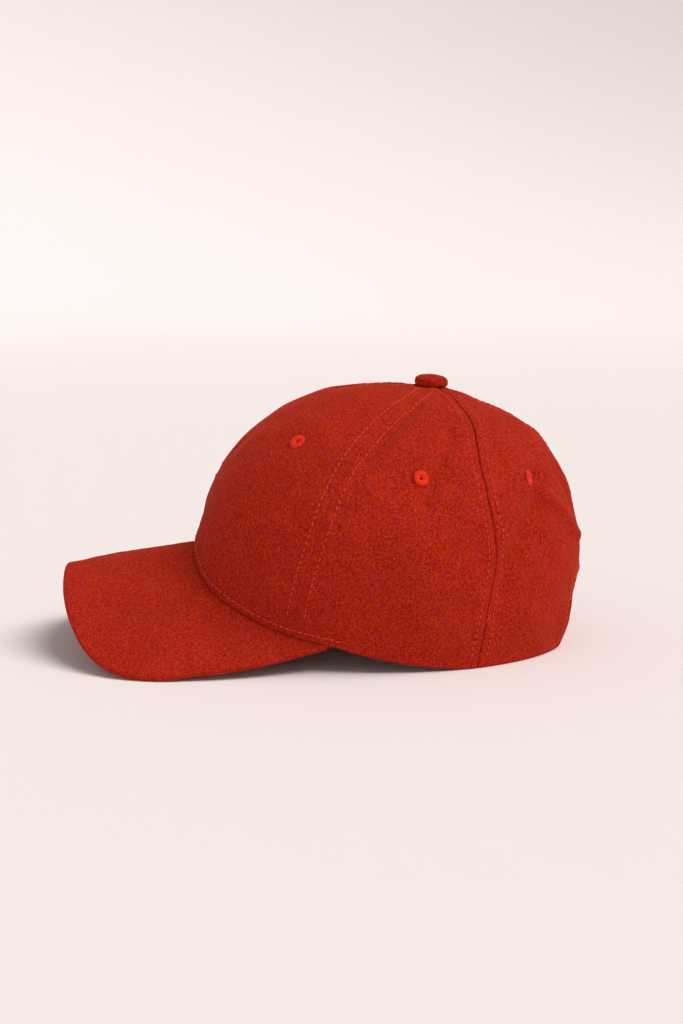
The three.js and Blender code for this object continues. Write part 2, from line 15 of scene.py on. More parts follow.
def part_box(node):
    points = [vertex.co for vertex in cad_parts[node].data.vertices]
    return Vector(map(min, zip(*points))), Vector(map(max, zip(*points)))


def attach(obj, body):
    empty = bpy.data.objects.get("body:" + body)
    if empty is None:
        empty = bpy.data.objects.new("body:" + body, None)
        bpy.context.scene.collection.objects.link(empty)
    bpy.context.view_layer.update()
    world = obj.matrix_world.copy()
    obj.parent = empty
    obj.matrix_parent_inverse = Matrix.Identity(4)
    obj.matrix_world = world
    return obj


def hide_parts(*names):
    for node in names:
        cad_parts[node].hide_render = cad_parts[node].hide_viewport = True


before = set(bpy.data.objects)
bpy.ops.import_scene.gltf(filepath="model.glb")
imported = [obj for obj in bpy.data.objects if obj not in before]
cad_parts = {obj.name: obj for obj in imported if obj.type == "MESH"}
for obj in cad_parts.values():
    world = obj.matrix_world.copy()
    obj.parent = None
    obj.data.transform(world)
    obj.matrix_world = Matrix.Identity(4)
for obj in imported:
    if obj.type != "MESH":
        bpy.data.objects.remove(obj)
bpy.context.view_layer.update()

# Main sizes, the same as the CAD model's
HEAD_LENGTH = 196.9
HEAD_WIDTH = 167.0
CROWN_HEIGHT = 133.0
FRONT_LIFT = 52.0
APEX_BACK = 26.2
CLOTH = 1.8
GAP = 0.3

BRIM_REACH = 68.6
BRIM_WIDTH = 185.0
BRIM_THICKNESS = 3.2
BRIM_FALL = 11.0
BRIM_FALL_POWER = 1.2
BRIM_CREST_RADIUS = 34.0
EDGE_ROUND = 0.5
EDGE_LIMIT = 0.4
BRIM_CLEARANCE = 0.45
BRIM_TAIL_ANGLE = 72.0
REST_ANGLE = 117.0
FLANGE_HEIGHT = 9.0
FLANGE_THICKNESS = 1.6
FLANGE_EASE = 0.6
FLANGE_RISE_SHARE = 0.53

PANEL_PUFF = 0.8
OPENING_HALF_ANGLE = 25.5
OPENING_RISE = 0.215
OPENING_ROUNDNESS = 0.7
OPENING_CORNER = 0.36
STRAP_HEIGHT = 35.0
STRAP_OVERLAP_ANGLE = 9.0
STRAP_EASE = 0.9
STRAP_RISE_SHARE = 0.78

EYELET_WIDTH = 8.4
EYELET_BORE = 1.8
EYELET_NECK = 4.6
BUTTON_WIDTH = 17.5
BUTTON_HEIGHT = 6.2
BUTTON_TILT = 5.0
SHANK_WIDTH = 3.6

# Sewing, seen only here
STITCH_LENGTH = 2.45
STITCH_PITCH = 3.3
YARN_PITCH = 1.2
PIT_RADIUS = 0.2
STITCH_RADIUS = 0.33
ROW_BESIDE_SEAM = 4.4
ROW_ABOVE_BRIM = 3.4
ROW_BESIDE_HEM = 3.6
ROW_IN_STRAP = 3.0
# How far each row's stitches, and the needle holes, are moved off the cloth
SIDE_ROW_LIFT = 0.12
MIDDLE_ROW_LIFT = 0.0
BRIM_ROW_LIFT = 0.06
HEM_ROW_LIFT = -0.08
PIT_LIFT = 0.5
# Progress up the crown where the rows start, over the brim and behind it
START_OVER_BRIM = 0.045
START_BEHIND = 0.02
THREAD_SIDES = 6

NORMAL_STEP = 0.004
DROP_PASSES = 6
HALF_LENGTH = HEAD_LENGTH / 2
HALF_WIDTH = HEAD_WIDTH / 2
HALF_BRIM = BRIM_WIDTH / 2
HOLE_RADIUS = SHANK_WIDTH / 2 + GAP


def columns(names, *rows):
    return {name: np.array(column, float) for name, column in zip(names.split(), zip(*rows))}


PROFILE = columns(
    "at front_reach front_rise side_reach side_rise back_reach back_rise",
    (0, 1, 0, 1, 0, 1, 0),
    (0.083, 0.97, 0.134, 1.03, 0.16, 1.076, 0.105),
    (0.167, 0.935, 0.295, 1.036, 0.315, 1.083, 0.215),
    (0.25, 0.894, 0.451, 1.012, 0.457, 1.089, 0.325),
    (0.333, 0.832, 0.595, 0.957, 0.58, 1.079, 0.435),
    (0.417, 0.749, 0.723, 0.876, 0.682, 1.044, 0.544),
    (0.5, 0.66, 0.832, 0.781, 0.763, 0.979, 0.649),
    (0.583, 0.56, 0.913, 0.68, 0.828, 0.874, 0.743),
    (0.667, 0.46, 0.971, 0.572, 0.881, 0.741, 0.826),
    (0.75, 0.347, 1.005, 0.453, 0.925, 0.575, 0.884),
    (0.833, 0.23, 1.02, 0.317, 0.96, 0.392, 0.928),
    (0.917, 0.115, 1.014, 0.164, 0.987, 0.196, 0.972),
    (1, 0, 1, 0, 1, 0, 1),
)

SWELL = columns(
    "turn out",
    (-15, 0.034),
    (0, 0),
    (15, 0.034),
    (30, 0.064),
    (45, 0.048),
    (60, 0.03),
    (75, 0.014),
    (95, 0),
    (120, 0),
    (180, 0),
)

RIM = columns("across lift", (0, 1), (0.16, 0.71), (0.38, 0.42), (0.6, 0.175), (0.82, 0.04), (1, 0))

BRIM_OUTLINE = columns(
    "along aside ahead",
    (0, 0.87, -0.953),
    (0.12, 0.926, -0.656),
    (0.25, 0.975, -0.347),
    (0.37, 1, -0.045),
    (0.5, 0.995, 0.288),
    (0.62, 0.897, 0.603),
    (0.74, 0.696, 0.826),
    (0.87, 0.378, 0.97),
    (1, 0, 1),
    (1.13, -0.378, 0.97),
)

SEAMS = columns(
    "at front_side side_back",
    (0, 60.5, 114.8),
    (0.25, 68.1, 120.3),
    (0.5, 72.2, 119.1),
    (0.75, 78.7, 123.8),
    (1, 91.8, 128.7),
)

# Soft folds: half-width, depth, and a chain of points (angle from the front, progress up the crown)
FOLDS = [
    (5.9, 4.1, (144, 0.49), (142, 0.455), (137, 0.39), (129, 0.285), (123.5, 0.2), (119.5, 0.115)),
    (4.0, -2.6, (145.5, 0.435), (152, 0.395), (157, 0.36), (163, 0.325)),
    (5.5, 2.6, (160, 0.53), (164.6, 0.47), (168, 0.39)),
    (4.0, 2.6, (109.5, 0.63), (104.5, 0.53), (100.5, 0.44), (98.5, 0.36)),
    (4.2, 1.7, (88, 0.78), (83.5, 0.67), (79.5, 0.57), (76.5, 0.49)),
]

STITCH = columns(
    "share lift", (-0.5, -0.42), (-0.42, -0.06), (-0.2, 0.1), (0, 0.13), (0.2, 0.1), (0.42, -0.06), (0.5, -0.42)
)

# Angle from the front and progress up the crown
EYELETS = {"front": (46.0, 0.487), "side": (96.8, 0.439), "back": (140.0, 0.49)}


def lookup(rows, key, column, value):
    """Values between the rows of a table, on a smooth curve through them."""
    k, v = rows[key], rows[column]
    value = np.asarray(value, float)
    last = len(k) - 1
    row = np.searchsorted(k[1:last], value, side="left")
    before, after = np.maximum(row - 1, 0), np.minimum(row + 2, last)
    span = k[row + 1] - k[row]
    share = (value - k[row]) / span
    start = (v[row + 1] - v[before]) / (k[row + 1] - k[before]) * span
    end = (v[after] - v[row]) / (k[after] - k[row]) * span
    s2, s3 = share**2, share**3
    return (
        v[row] * (2 * s3 - 3 * s2 + 1)
        + start * (s3 - 2 * s2 + share)
        + v[row + 1] * (3 * s2 - 2 * s3)
        + end * (s3 - s2)
    )


def unit(v):
    return v / np.maximum(np.linalg.norm(v, axis=-1, keepdims=True), 1e-12)


def vec(x, y, z):
    return np.stack(np.broadcast_arrays(x, y, z), -1)


def smooth(value, low, high):
    share = np.clip((value - low) / (high - low), 0, 1)
    return share * share * (3 - 2 * share)


def oval_at(angle, up=0):
    """The oval that the crown follows at an angle from the front and a progress up the crown."""
    turn = np.degrees(np.arccos(np.clip(np.cos(angle), -1, 1)))
    swell = 1 + lookup(SWELL, "turn", "out", turn) * (1 - up)
    return HALF_WIDTH * swell * np.sin(angle), -HALF_LENGTH * swell * np.cos(angle)


# Brim surface


def crest_at(y):
    ahead = (-y - HALF_LENGTH) / BRIM_REACH
    fall = BRIM_FALL * np.sign(ahead) * np.abs(ahead) ** BRIM_FALL_POWER * np.where(ahead > 0, 1, 0.1)
    return FRONT_LIFT - BRIM_CLEARANCE - fall


def bend(x):
    return np.hypot(x, BRIM_CREST_RADIUS) - BRIM_CREST_RADIUS


def under_brim(x, y, depth, drop):
    def top(at_x, at_y):
        return crest_at(at_y) - drop * bend(at_x)

    half = 0.5
    slope_x = top(x + half, y) - top(x - half, y)
    slope_y = top(x, y + half) - top(x, y - half)
    normal = unit(vec(-slope_x, -slope_y, 1.0))
    return vec(x, y, top(x, y)) - normal * np.asarray(depth, float)[..., None]


def brim_section(across):
    """Brim sections at each place across: angle, inner foot, outer edge, rounding share and width."""
    turn = np.radians(across * BRIM_TAIL_ANGLE)
    inset = CLOTH + FLANGE_EASE
    rim_x, rim_y = oval_at(turn)
    inner = np.stack([rim_x * (1 - inset / HALF_WIDTH), rim_y * (1 - inset / HALF_LENGTH)], -1)
    along = 1 - np.abs(across)
    outer = np.stack(
        [
            np.sign(across) * HALF_BRIM * lookup(BRIM_OUTLINE, "along", "aside", along),
            -HALF_LENGTH - BRIM_REACH * lookup(BRIM_OUTLINE, "along", "ahead", along),
        ],
        -1,
    )
    width = np.linalg.norm(outer - inner, axis=-1)
    rounding = np.minimum(EDGE_LIMIT, BRIM_THICKNESS * EDGE_ROUND / width)
    return turn, inner, outer, rounding, width


def brim_lowest(drop):
    across = np.linspace(-1, 1, 37)
    _, inner, outer, rounding, _ = brim_section(across)
    lowest = FRONT_LIFT
    for inward, down in ((1, 0), (0.3, 0.15), (0, 0.5), (0.3, 0.85), (1, 1)):
        share = (1 - inward * rounding)[:, None]
        x, y = (inner + (outer - inner) * share).T
        lowest = min(lowest, under_brim(x, y, np.full(x.shape, down * BRIM_THICKNESS), drop)[:, 2].min())
    return lowest


BRIM_DROP = (FRONT_LIFT - BRIM_THICKNESS) / bend(HALF_BRIM)
for _ in range(DROP_PASSES):
    BRIM_DROP += brim_lowest(BRIM_DROP) / bend(HALF_BRIM)


def brim_top(x, y):
    return crest_at(y) - BRIM_DROP * bend(x)


# Crown surface


def rim_height(angle):
    turn = np.degrees(np.arccos(np.clip(np.cos(angle), -1, 1)))
    x, y = oval_at(np.radians(np.minimum(turn, BRIM_TAIL_ANGLE)))
    on_brim = brim_top(x, y) + BRIM_CLEARANCE
    across = np.clip((turn - BRIM_TAIL_ANGLE) / (REST_ANGLE - BRIM_TAIL_ANGLE), 0, 1)
    behind = np.maximum(0, on_brim * lookup(RIM, "across", "lift", across))
    return np.where(turn <= BRIM_TAIL_ANGLE, on_brim, np.where(across >= 1, 0, behind))


def plain_crown(angle, up):
    cos = np.cos(angle)
    side = 1 - cos * cos

    def mixed(name):
        front = lookup(PROFILE, "at", "front_" + name, up)
        back = lookup(PROFILE, "at", "back_" + name, up)
        return side * lookup(PROFILE, "at", "side_" + name, up) + (1 - side) * np.where(cos > 0, front, back)

    rim_x, rim_y = oval_at(angle, up)
    offset_y = rim_y - APEX_BACK
    least = HOLE_RADIUS / np.hypot(rim_x, offset_y)
    reach = least + (1 - least) * mixed("reach")
    low = rim_height(angle)
    return vec(rim_x * reach, APEX_BACK + offset_y * reach, low + (CROWN_HEIGHT - low) * mixed("rise"))


def tangents(angle, up):
    low, high = np.maximum(0, up - NORMAL_STEP), np.minimum(1, up + NORMAL_STEP)
    across = (plain_crown(angle + NORMAL_STEP, up) - plain_crown(angle - NORMAL_STEP, up)) / (2 * NORMAL_STEP)
    along = (plain_crown(angle, high) - plain_crown(angle, low)) / (high - low)[..., None]
    return across, along


def crown_normal(angle, up):
    across, along = tangents(angle, up)
    full = unit(np.cross(across, along))
    flat = unit(full * np.array([1, 1, 0]))
    blend = smooth(up, 0, 0.03)[..., None]
    return unit(flat + (full - flat) * blend)


def seams_at(up):
    zero = np.zeros_like(np.asarray(up, float))
    return [zero, lookup(SEAMS, "at", "front_side", up), lookup(SEAMS, "at", "side_back", up), zero + 180]


def near_lines(p, starts, ends):
    """Distance of each point to each straight line between two points."""
    line = ends - starts
    share = np.einsum("...k,fk->...f", p, line) - (starts * line).sum(1)
    share = np.clip(share / (line**2).sum(1), 0, 1)
    spot = starts + share[..., None] * line
    return np.linalg.norm(p[..., None, :] - spot, axis=-1)


def fold_chain(points, count=14):
    """The chain of points, smoothed, as points on the plain crown."""
    at = np.linspace(0, len(points) - 1, count)
    angle, up = (np.interp(at, range(len(points)), [p[i] for p in points]) for i in (0, 1))
    return plain_crown(np.radians(angle), up)


FOLD_CHAINS = [(width, depth, fold_chain(points)) for width, depth, *points in FOLDS]


class Ripple:
    """Smooth seeded unevenness of cloth: a sum of waves in all directions round one wavelength."""

    def __init__(self, seed, wavelength, count=14, spread=0.35):
        rng = np.random.default_rng(seed)
        direction = unit(rng.normal(size=(count, 3)))
        length = wavelength * (1 + spread * rng.uniform(-1, 1, count))
        self.k = direction * (2 * math.pi / length)[:, None]
        self.phase = rng.uniform(0, 2 * math.pi, count)
        self.scale = 1 / math.sqrt(count / 2)

    def __call__(self, p):
        return np.sin(p @ self.k.T + self.phase).sum(-1) * self.scale


BROAD = {1: Ripple(11, 30), -1: Ripple(12, 30)}
MIDDLE = {1: Ripple(21, 12), -1: Ripple(22, 12)}
FINE = {1: Ripple(31, 4.6), -1: Ripple(32, 4.6)}


def seam_distances(angle, up):
    """Signed distance in millimetres to each seam, measured square to it on the cloth."""
    turn = np.arccos(np.clip(np.cos(angle), -1, 1))
    across, along = tangents(angle, up)
    step = 0.01
    low, high = np.clip(up - step, 0, 1), np.clip(up + step, 0, 1)
    found = []
    for here, before, after in zip(seams_at(up), seams_at(low), seams_at(high)):
        slope = np.radians(after - before) / (high - low)
        direction = across * slope[..., None] + along
        per_radian = np.linalg.norm(np.cross(across, direction), axis=-1) / np.linalg.norm(direction, axis=-1)
        found.append((turn - np.radians(here)) * per_radian)
    return found


# Sewn seams: depth and half-width of the groove, height of the doubled cloth beside it
SEAM_LOOK = [(0.95, 0.45, 0.3), (0.3, 0.4, 0.42), (1.1, 0.36, 0.34), (0.95, 0.45, 0.3)]


def relief(angle, up, side=1, fine=True):
    """How far the cloth stands off the plain crown at each point."""
    turn = np.arccos(np.clip(np.cos(angle), -1, 1))
    here = plain_crown(angle, up)
    seams = [np.radians(s) for s in seams_at(up)]
    share = np.zeros_like(turn)
    for first, second in zip(seams[:-1], seams[1:]):
        inside = (turn >= first) & (turn <= second)
        share = np.where(inside, (turn - first) / (second - first), share)
    fade = np.sin(np.pi * np.clip(up, 0, 1)) ** 0.5
    off = PANEL_PUFF * np.sin(np.pi * share) * fade
    mirrored = np.abs(here) * [1, 0, 0] + here * [0, 1, 1]
    for width, depth, chain in FOLD_CHAINS:
        away = near_lines(mirrored, chain[:-1], chain[1:]).min(-1)
        off -= depth * np.exp(-((away / width) ** 2)) * fade
    if not fine:
        return off
    rim = smooth(up, 0, 0.04)
    off += (0.28 * BROAD[side](here) + 0.13 * MIDDLE[side](here)) * rim * smooth(1 - up, 0, 0.12)
    off += 0.035 * FINE[side](here) * rim
    radius = np.hypot(here[..., 0], here[..., 1] - APEX_BACK)
    under_button = smooth(radius, 3.0, 8.5)
    for distance, (depth, half, raised) in zip(seam_distances(angle, up), SEAM_LOOK):
        away = np.abs(distance)
        near = np.exp(-((away / half) ** 2))
        band = 1 - smooth(away, ROW_BESIDE_SEAM + 0.2, ROW_BESIDE_SEAM + 2.4)
        row = np.exp(-(((away - ROW_BESIDE_SEAM) / 0.75) ** 2))
        ripples = MIDDLE[-side](here * 1.9) * np.exp(-(((away - ROW_BESIDE_SEAM) / 3.2) ** 2))
        off += (-depth * near + raised * band - 0.32 * row + 0.09 * ripples * rim) * under_button
    return off


def surface(angle, up, side=1):
    """Outer face of the crown, as it is seen."""
    return plain_crown(angle, up) + crown_normal(angle, up) * relief(angle, up, side)[..., None]


def offset_path(angle, up, distance):
    """Moves a path on the crown sideways by a distance in millimetres, to its left seen from outside."""
    steps = max(1, int(math.ceil(abs(distance))))
    angle, up = np.array(angle, float), np.array(up, float)
    for _ in range(steps):
        across, along = tangents(angle, up)
        p = plain_crown(angle, up)
        forward = unit(np.gradient(p, axis=0))
        normal = unit(np.cross(across, along))
        sideways = unit(np.cross(normal, forward)) * (distance / steps)
        a11, a12, a22 = (across**2).sum(-1), (across * along).sum(-1), (along**2).sum(-1)
        b1, b2 = (across * sideways).sum(-1), (along * sideways).sum(-1)
        det = a11 * a22 - a12**2
        angle = angle + (a22 * b1 - a12 * b2) / det
        up = np.clip(up + (a11 * b2 - a12 * b1) / det, 0, 1)
    return angle, up


# Meshes


def brim_front():
    """Foremost place of the brim's edge, at half its thickness."""
    outer = brim_section(np.linspace(-1, 1, 37))[2]
    return under_brim(outer[:, 0], outer[:, 1], np.full(37, BRIM_THICKNESS / 2), BRIM_DROP)[:, 1].min()


SHIFT = np.array([0.0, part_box("brim")[0].y * 1000 - brim_front(), 0.0])


def to_frame(p):
    return (np.asarray(p, float) + SHIFT) / 1000


def wound_inwards(verts, faces, middle):
    """Whether faces round a point have their fronts towards it."""
    a, b, c = (verts[faces[:, i]] - middle for i in range(3))
    return np.einsum("ij,ij->i", a, np.cross(b, c)).sum() < 0


def new_object(name, data):
    made = bpy.data.objects.new(name, data)
    bpy.context.scene.collection.objects.link(made)
    return made


def add_mesh(name, verts, quads=(), triangles=(), uv=None, flip=None):
    """A smooth-shaded mesh object from arrays. uv holds one pair for each vertex, in millimetres of cloth."""
    verts = np.asarray(verts, float)
    quads = np.asarray(quads, np.int64).reshape(-1, 4)
    triangles = np.asarray(triangles, np.int64).reshape(-1, 3)
    if flip is None:
        halves = np.concatenate([triangles, quads[:, [0, 1, 2]], quads[:, [0, 2, 3]]])
        flip = wound_inwards(verts, halves, verts.mean(0))
    if flip:
        quads, triangles = quads[:, ::-1], triangles[:, ::-1]
    mesh = bpy.data.meshes.new(name)
    loops = np.concatenate([quads.ravel(), triangles.ravel()])
    sizes = np.concatenate([np.full(len(quads), 4), np.full(len(triangles), 3)])
    starts = np.concatenate([[0], np.cumsum(sizes)[:-1]])
    mesh.vertices.add(len(verts))
    mesh.vertices.foreach_set("co", to_frame(verts).astype(np.float32).ravel())
    mesh.loops.add(len(loops))
    mesh.loops.foreach_set("vertex_index", loops.astype(np.int32))
    mesh.polygons.add(len(sizes))
    mesh.polygons.foreach_set("loop_start", starts.astype(np.int32))
    mesh.polygons.foreach_set("use_smooth", np.ones(len(sizes), bool))
    mesh.update(calc_edges=True)
    if uv is not None:
        layer = mesh.uv_layers.new(name="cloth")
        layer.data.foreach_set("uv", np.asarray(uv, np.float32)[loops].ravel())
    mesh.validate()
    return new_object(name, mesh)


def spaced(near, far, step, total):
    """Places from 0 to total, with these distances from each end and about one step between."""
    near, far = [d for d in near if d < total / 2], [total - d for d in far if d < total / 2]
    middle = np.linspace(near[-1], far[-1], max(2, int(round((far[-1] - near[-1]) / step)) + 1))
    return np.concatenate([near[:-1], middle, far[::-1][1:]])


def cell_quads(rows, cols, start=0, keep=None):
    r, c = np.meshgrid(np.arange(rows - 1), np.arange(cols - 1), indexing="ij")
    if keep is not None:
        r, c = r[keep], c[keep]
    r, c = r.ravel(), c.ravel()
    a = start + r * cols + c
    return np.stack([a, a + 1, a + cols + 1, a + cols], -1)


def strip_quads(rings, points, start=0, round_rings=True, round_points=False):
    """Faces between neighbouring rings of points, closed round the rings, round the points or both."""
    s, k = np.meshgrid(np.arange(rings - (not round_rings)), np.arange(points - (not round_points)), indexing="ij")
    s2, k2 = (s + 1) % rings, (k + 1) % points
    return start + np.stack([s * points + k, s * points + k2, s2 * points + k2, s2 * points + k], -1).reshape(-1, 4)


def rim_quads(rows, cols):
    """Faces that join an outer and an inner grid all round their edge."""
    index = np.arange(rows * cols).reshape(rows, cols)
    ring = np.concatenate([index[0, :-1], index[:-1, -1], index[-1, :0:-1], index[:0:-1, 0]])
    after = np.roll(ring, -1)
    return np.stack([ring, ring + rows * cols, after + rows * cols, after], -1)


def spokes(turn, first, second):
    return np.cos(turn)[..., None] * first + np.sin(turn)[..., None] * second


def cloth_lengths(grid):
    """Distances along the rows from the middle column, and up the columns from the first row."""
    across = np.linalg.norm(np.diff(grid, axis=1), axis=-1)
    across = np.concatenate([np.zeros((grid.shape[0], 1)), np.cumsum(across, 1)], 1)
    across -= across[:, [grid.shape[1] // 2]]
    along = np.linalg.norm(np.diff(grid, axis=0), axis=-1)
    along = np.concatenate([np.zeros((1, grid.shape[1])), np.cumsum(along, 0)], 0)
    return across, along


SEAM_STEPS = [0, 0.12, 0.28, 0.48, 0.72, 1.05, 1.5, 2.1, 2.8, 3.4, 3.9, 4.4, 4.9, 5.5, 6.2, 7.0]
HEM_STEPS = [0, 0.1, 0.25, 0.45, 0.7, 1.0, 1.4, 1.9, 2.5, 3.1, 3.6, 4.2, 5.0]
BUTTON_STEPS = [0, 0.8, 1.8, 2.8]
PANEL_WIDTH = 92.0
PANEL_LENGTH = 165.0


def panel_point(number, across, upward):
    """Angle in radians and progress up the crown of a panel's grid points."""
    if number < 2:
        seams = seams_at(upward)
        return np.radians(seams[number] + (seams[number + 1] - seams[number]) * across), upward
    start = seams_at(0.0)[number]
    edge = 180 - OPENING_HALF_ANGLE
    beyond = np.maximum(0, (across - OPENING_CORNER) / (1 - OPENING_CORNER)) * (np.pi / 2)
    rise = OPENING_RISE * np.sin(beyond) ** OPENING_ROUNDNESS
    on_arch = 180 - OPENING_HALF_ANGLE * np.maximum(0, np.cos(beyond)) ** OPENING_ROUNDNESS
    low = np.where(across <= OPENING_CORNER, start + (edge - start) * across / OPENING_CORNER, on_arch)
    up = rise + (1 - rise) * upward
    top = seams_at(1.0)[number]
    high = top + (180 - top) * across
    straight = start + (top - start) * upward
    bow = (seams_at(upward)[number] - straight) * (1 - across) ** 1.5
    return np.radians(low + (high - low) * upward + bow), up


def edge_distance(points, line):
    """Distance of each point to a line of points."""
    flat = points.reshape(-1, 3)
    found = np.full(len(flat), 1e9)
    for part in np.array_split(np.arange(len(line)), max(1, len(line) // 16)):
        found = np.minimum(found, np.linalg.norm(flat[:, None] - line[part], axis=-1).min(1))
    return found.reshape(points.shape[:-1])


def hem_depth(distance, radius):
    """How far a face turns in towards the middle of the cloth near a hem's edge."""
    inside = np.clip(1 - distance / radius, 0, 0.97)
    return radius * (1 - np.sqrt(1 - inside**2))


def panel(name, number, side):
    across = spaced(SEAM_STEPS, SEAM_STEPS, 1.0, PANEL_WIDTH) / PANEL_WIDTH
    upward = spaced(HEM_STEPS, BUTTON_STEPS, 1.15, PANEL_LENGTH) / PANEL_LENGTH
    angle, up = panel_point(number, *np.meshgrid(across, upward))
    base = plain_crown(angle, up)
    normal = crown_normal(angle, up)
    hem = edge_distance(base, base[0])
    to_arch = np.full_like(hem, 1e3)
    if number == 2:
        arch = across > OPENING_CORNER
        to_arch = edge_distance(base, base[0][arch])
    seen = relief(angle, up, side)
    plain = relief(angle, up, side, fine=False)
    roll = 0.38 * np.exp(-(((to_arch - 1.4) / 1.1) ** 2)) - 0.3 * np.exp(-(((to_arch - ROW_BESIDE_HEM) / 0.7) ** 2))
    lip = 0.16 * np.exp(-(((hem - 1.5) / 1.1) ** 2))
    on_brim = (np.degrees(angle) < BRIM_TAIL_ANGLE + 4) * np.exp(-(((hem - ROW_ABOVE_BRIM) / 0.7) ** 2))
    turned_in = hem_depth(hem, CLOTH / 2)
    outer = base + normal * (seen + roll + lip - 0.28 * on_brim - turned_in)[..., None]
    inner = base + normal * (plain * smooth(up, 0, 0.02) - CLOTH + turned_in)[..., None]
    # The lifted front edge follows the brim's slope through the cloth's thickness.
    degrees = np.degrees(angle)
    share = np.clip((REST_ANGLE - degrees) / (REST_ANGLE - BRIM_TAIL_ANGLE), 0, 1)
    shifted = base - unit(normal * [1, 1, 0]) * CLOTH
    slope = brim_top(shifted[..., 0], shifted[..., 1]) - brim_top(base[..., 0], base[..., 1])
    inner[..., 2] += slope * share * (1 - smooth(up, 0, 0.06))
    for column, sign in ((0, 1), (-1, -1)):
        for grid in (outer, inner):
            sideways = unit(vec(-(grid[:, column, 1] - APEX_BACK), grid[:, column, 0], 0.0))
            grid[:, column] += sideways * sign * 0.03
    rows, cols = angle.shape
    u, v = cloth_lengths(base)
    key = name.split("_")[1]
    eyelet_angle, eyelet_up = EYELETS[key]
    centre, axis = eyelet_place(eyelet_angle, eyelet_up, side)
    cells = (outer[:-1, :-1] + outer[1:, :-1] + outer[:-1, 1:] + outer[1:, 1:]) / 4
    apart = cells - centre
    apart = np.linalg.norm(apart - (apart @ axis)[..., None] * axis, axis=-1)
    keep = (apart > EYELET_NECK / 2) | (np.linalg.norm(cells - centre, axis=-1) > EYELET_WIDTH)
    quads = [cell_quads(rows, cols, 0, keep), cell_quads(rows, cols, rows * cols, keep)[:, ::-1]]
    quads.append(rim_quads(rows, cols))
    index = np.arange(rows * cols).reshape(rows, cols)
    gone = ~keep
    padded = np.pad(gone, 1)
    walls = []
    edge_verts = set()
    for r, c in zip(*np.nonzero(gone)):
        for dr, dc, a, b in (
            (-1, 0, index[r, c], index[r, c + 1]),
            (0, 1, index[r, c + 1], index[r + 1, c + 1]),
            (1, 0, index[r + 1, c + 1], index[r + 1, c]),
            (0, -1, index[r + 1, c], index[r, c]),
        ):
            if not padded[r + 1 + dr, c + 1 + dc]:
                walls.append([a, b, b + rows * cols, a + rows * cols])
                edge_verts.update((a, b))
    if walls:
        quads.append(np.array(walls))
    verts = np.concatenate([outer.reshape(-1, 3), inner.reshape(-1, 3)])
    for base_index in edge_verts:
        for i in (base_index, base_index + rows * cols):
            d = verts[i] - centre
            flat = d - (d @ axis) * axis
            verts[i] += unit(flat) * (EYELET_NECK / 2 + 0.1) - flat
    used = np.zeros(len(verts), bool)
    quads = np.concatenate(quads)
    used[quads.ravel()] = True
    order = np.cumsum(used) - 1
    uv = np.stack([np.tile(u.ravel(), 2), np.tile(v.ravel(), 2)], -1)
    verts[:, 0] *= side
    return add_mesh(name, verts[used], order[quads], uv=uv[used], flip=side < 0)


def eyelet_place(angle, up, side):
    """Where an eyelet sits on the left half, and its outward axis."""
    a = np.radians(angle)
    step = 0.02
    around = np.array([a + step, a - step, a, a]), np.array([up, up, up + step, up - step])
    corners = plain_crown(*around) + crown_normal(*around) * relief(*around, fine=False)[:, None]
    axis = unit(np.cross(corners[0] - corners[1], corners[2] - corners[3]))
    return surface(np.array([a]), np.array([up]), side)[0], axis


# Thread


def tubes(paths, radius, sides=THREAD_SIDES, ends=0.35):
    """Round threads along paths (count, stations, 3), with closed, tapered ends."""
    paths = np.asarray(paths, float)
    count, stations = paths.shape[:2]
    forward = unit(np.gradient(paths, axis=1))
    reference = np.zeros_like(forward) + [0.31, 0.23, 0.92]
    first = unit(np.cross(forward, reference))
    second = np.cross(forward, first)
    turn = np.arange(sides) / sides * 2 * np.pi
    sizes = np.ones(stations) * radius
    sizes[[0, -1]] *= ends
    rings = paths[:, :, None] + sizes[None, :, None, None] * spokes(turn, first[:, :, None], second[:, :, None])
    per = stations * sides
    verts = rings.reshape(-1, 3)
    s, k = np.meshgrid(np.arange(stations - 1), np.arange(sides), indexing="ij")
    a, b = s * sides + k, s * sides + (k + 1) % sides
    one = np.stack([a, b, b + sides, a + sides], -1).reshape(-1, 4)
    quads = (one[None] + (np.arange(count) * per)[:, None, None]).reshape(-1, 4)
    fans = []
    for start, order in ((0, (0, 2, 1)), ((stations - 1) * sides, (0, 1, 2))):
        for i in range(1, sides - 1):
            face = np.array([start, start + i, start + i + 1])[list(order)]
            fans.append(face)
    fans = (np.array(fans)[None] + (np.arange(count) * per)[:, None, None]).reshape(-1, 3)
    return verts, quads, fans


def along_path(points, normals, pitch, length, start=0.0, seed=0):
    """Stitch centre lines laid along a path on the cloth: each dips into the cloth at both ends."""
    steps = np.linalg.norm(np.diff(points, axis=0), axis=1)
    at = np.concatenate([[0], np.cumsum(steps)])
    rng = np.random.default_rng(seed)
    centres = np.arange(start + pitch / 2, at[-1] - pitch / 2, pitch)
    centres = centres + rng.uniform(-0.12, 0.12, len(centres))
    lengths = length * (1 + rng.uniform(-0.08, 0.08, len(centres)))
    shares, lift = STITCH["share"], STITCH["lift"]
    spots = centres[:, None] + lengths[:, None] * shares[None]
    place = np.stack([np.interp(spots, at, points[:, i]) for i in range(3)], -1)
    out = unit(np.stack([np.interp(spots, at, normals[:, i]) for i in range(3)], -1))
    slant = rng.uniform(-0.1, 0.1, len(centres))[:, None] * shares[None] * 2
    sideways = unit(np.cross(out, unit(np.gradient(place, axis=1))))
    return place + out * lift[None, :, None] + sideways * slant[..., None]


def surface_path(angle, up, side, extra=0.0):
    """Points and outward normals of the seen cloth along a path, evenly spaced."""
    p = surface(angle, up, side)
    across, along = tangents(angle, up)
    normal = unit(np.cross(across, along))
    return p + normal * extra, normal


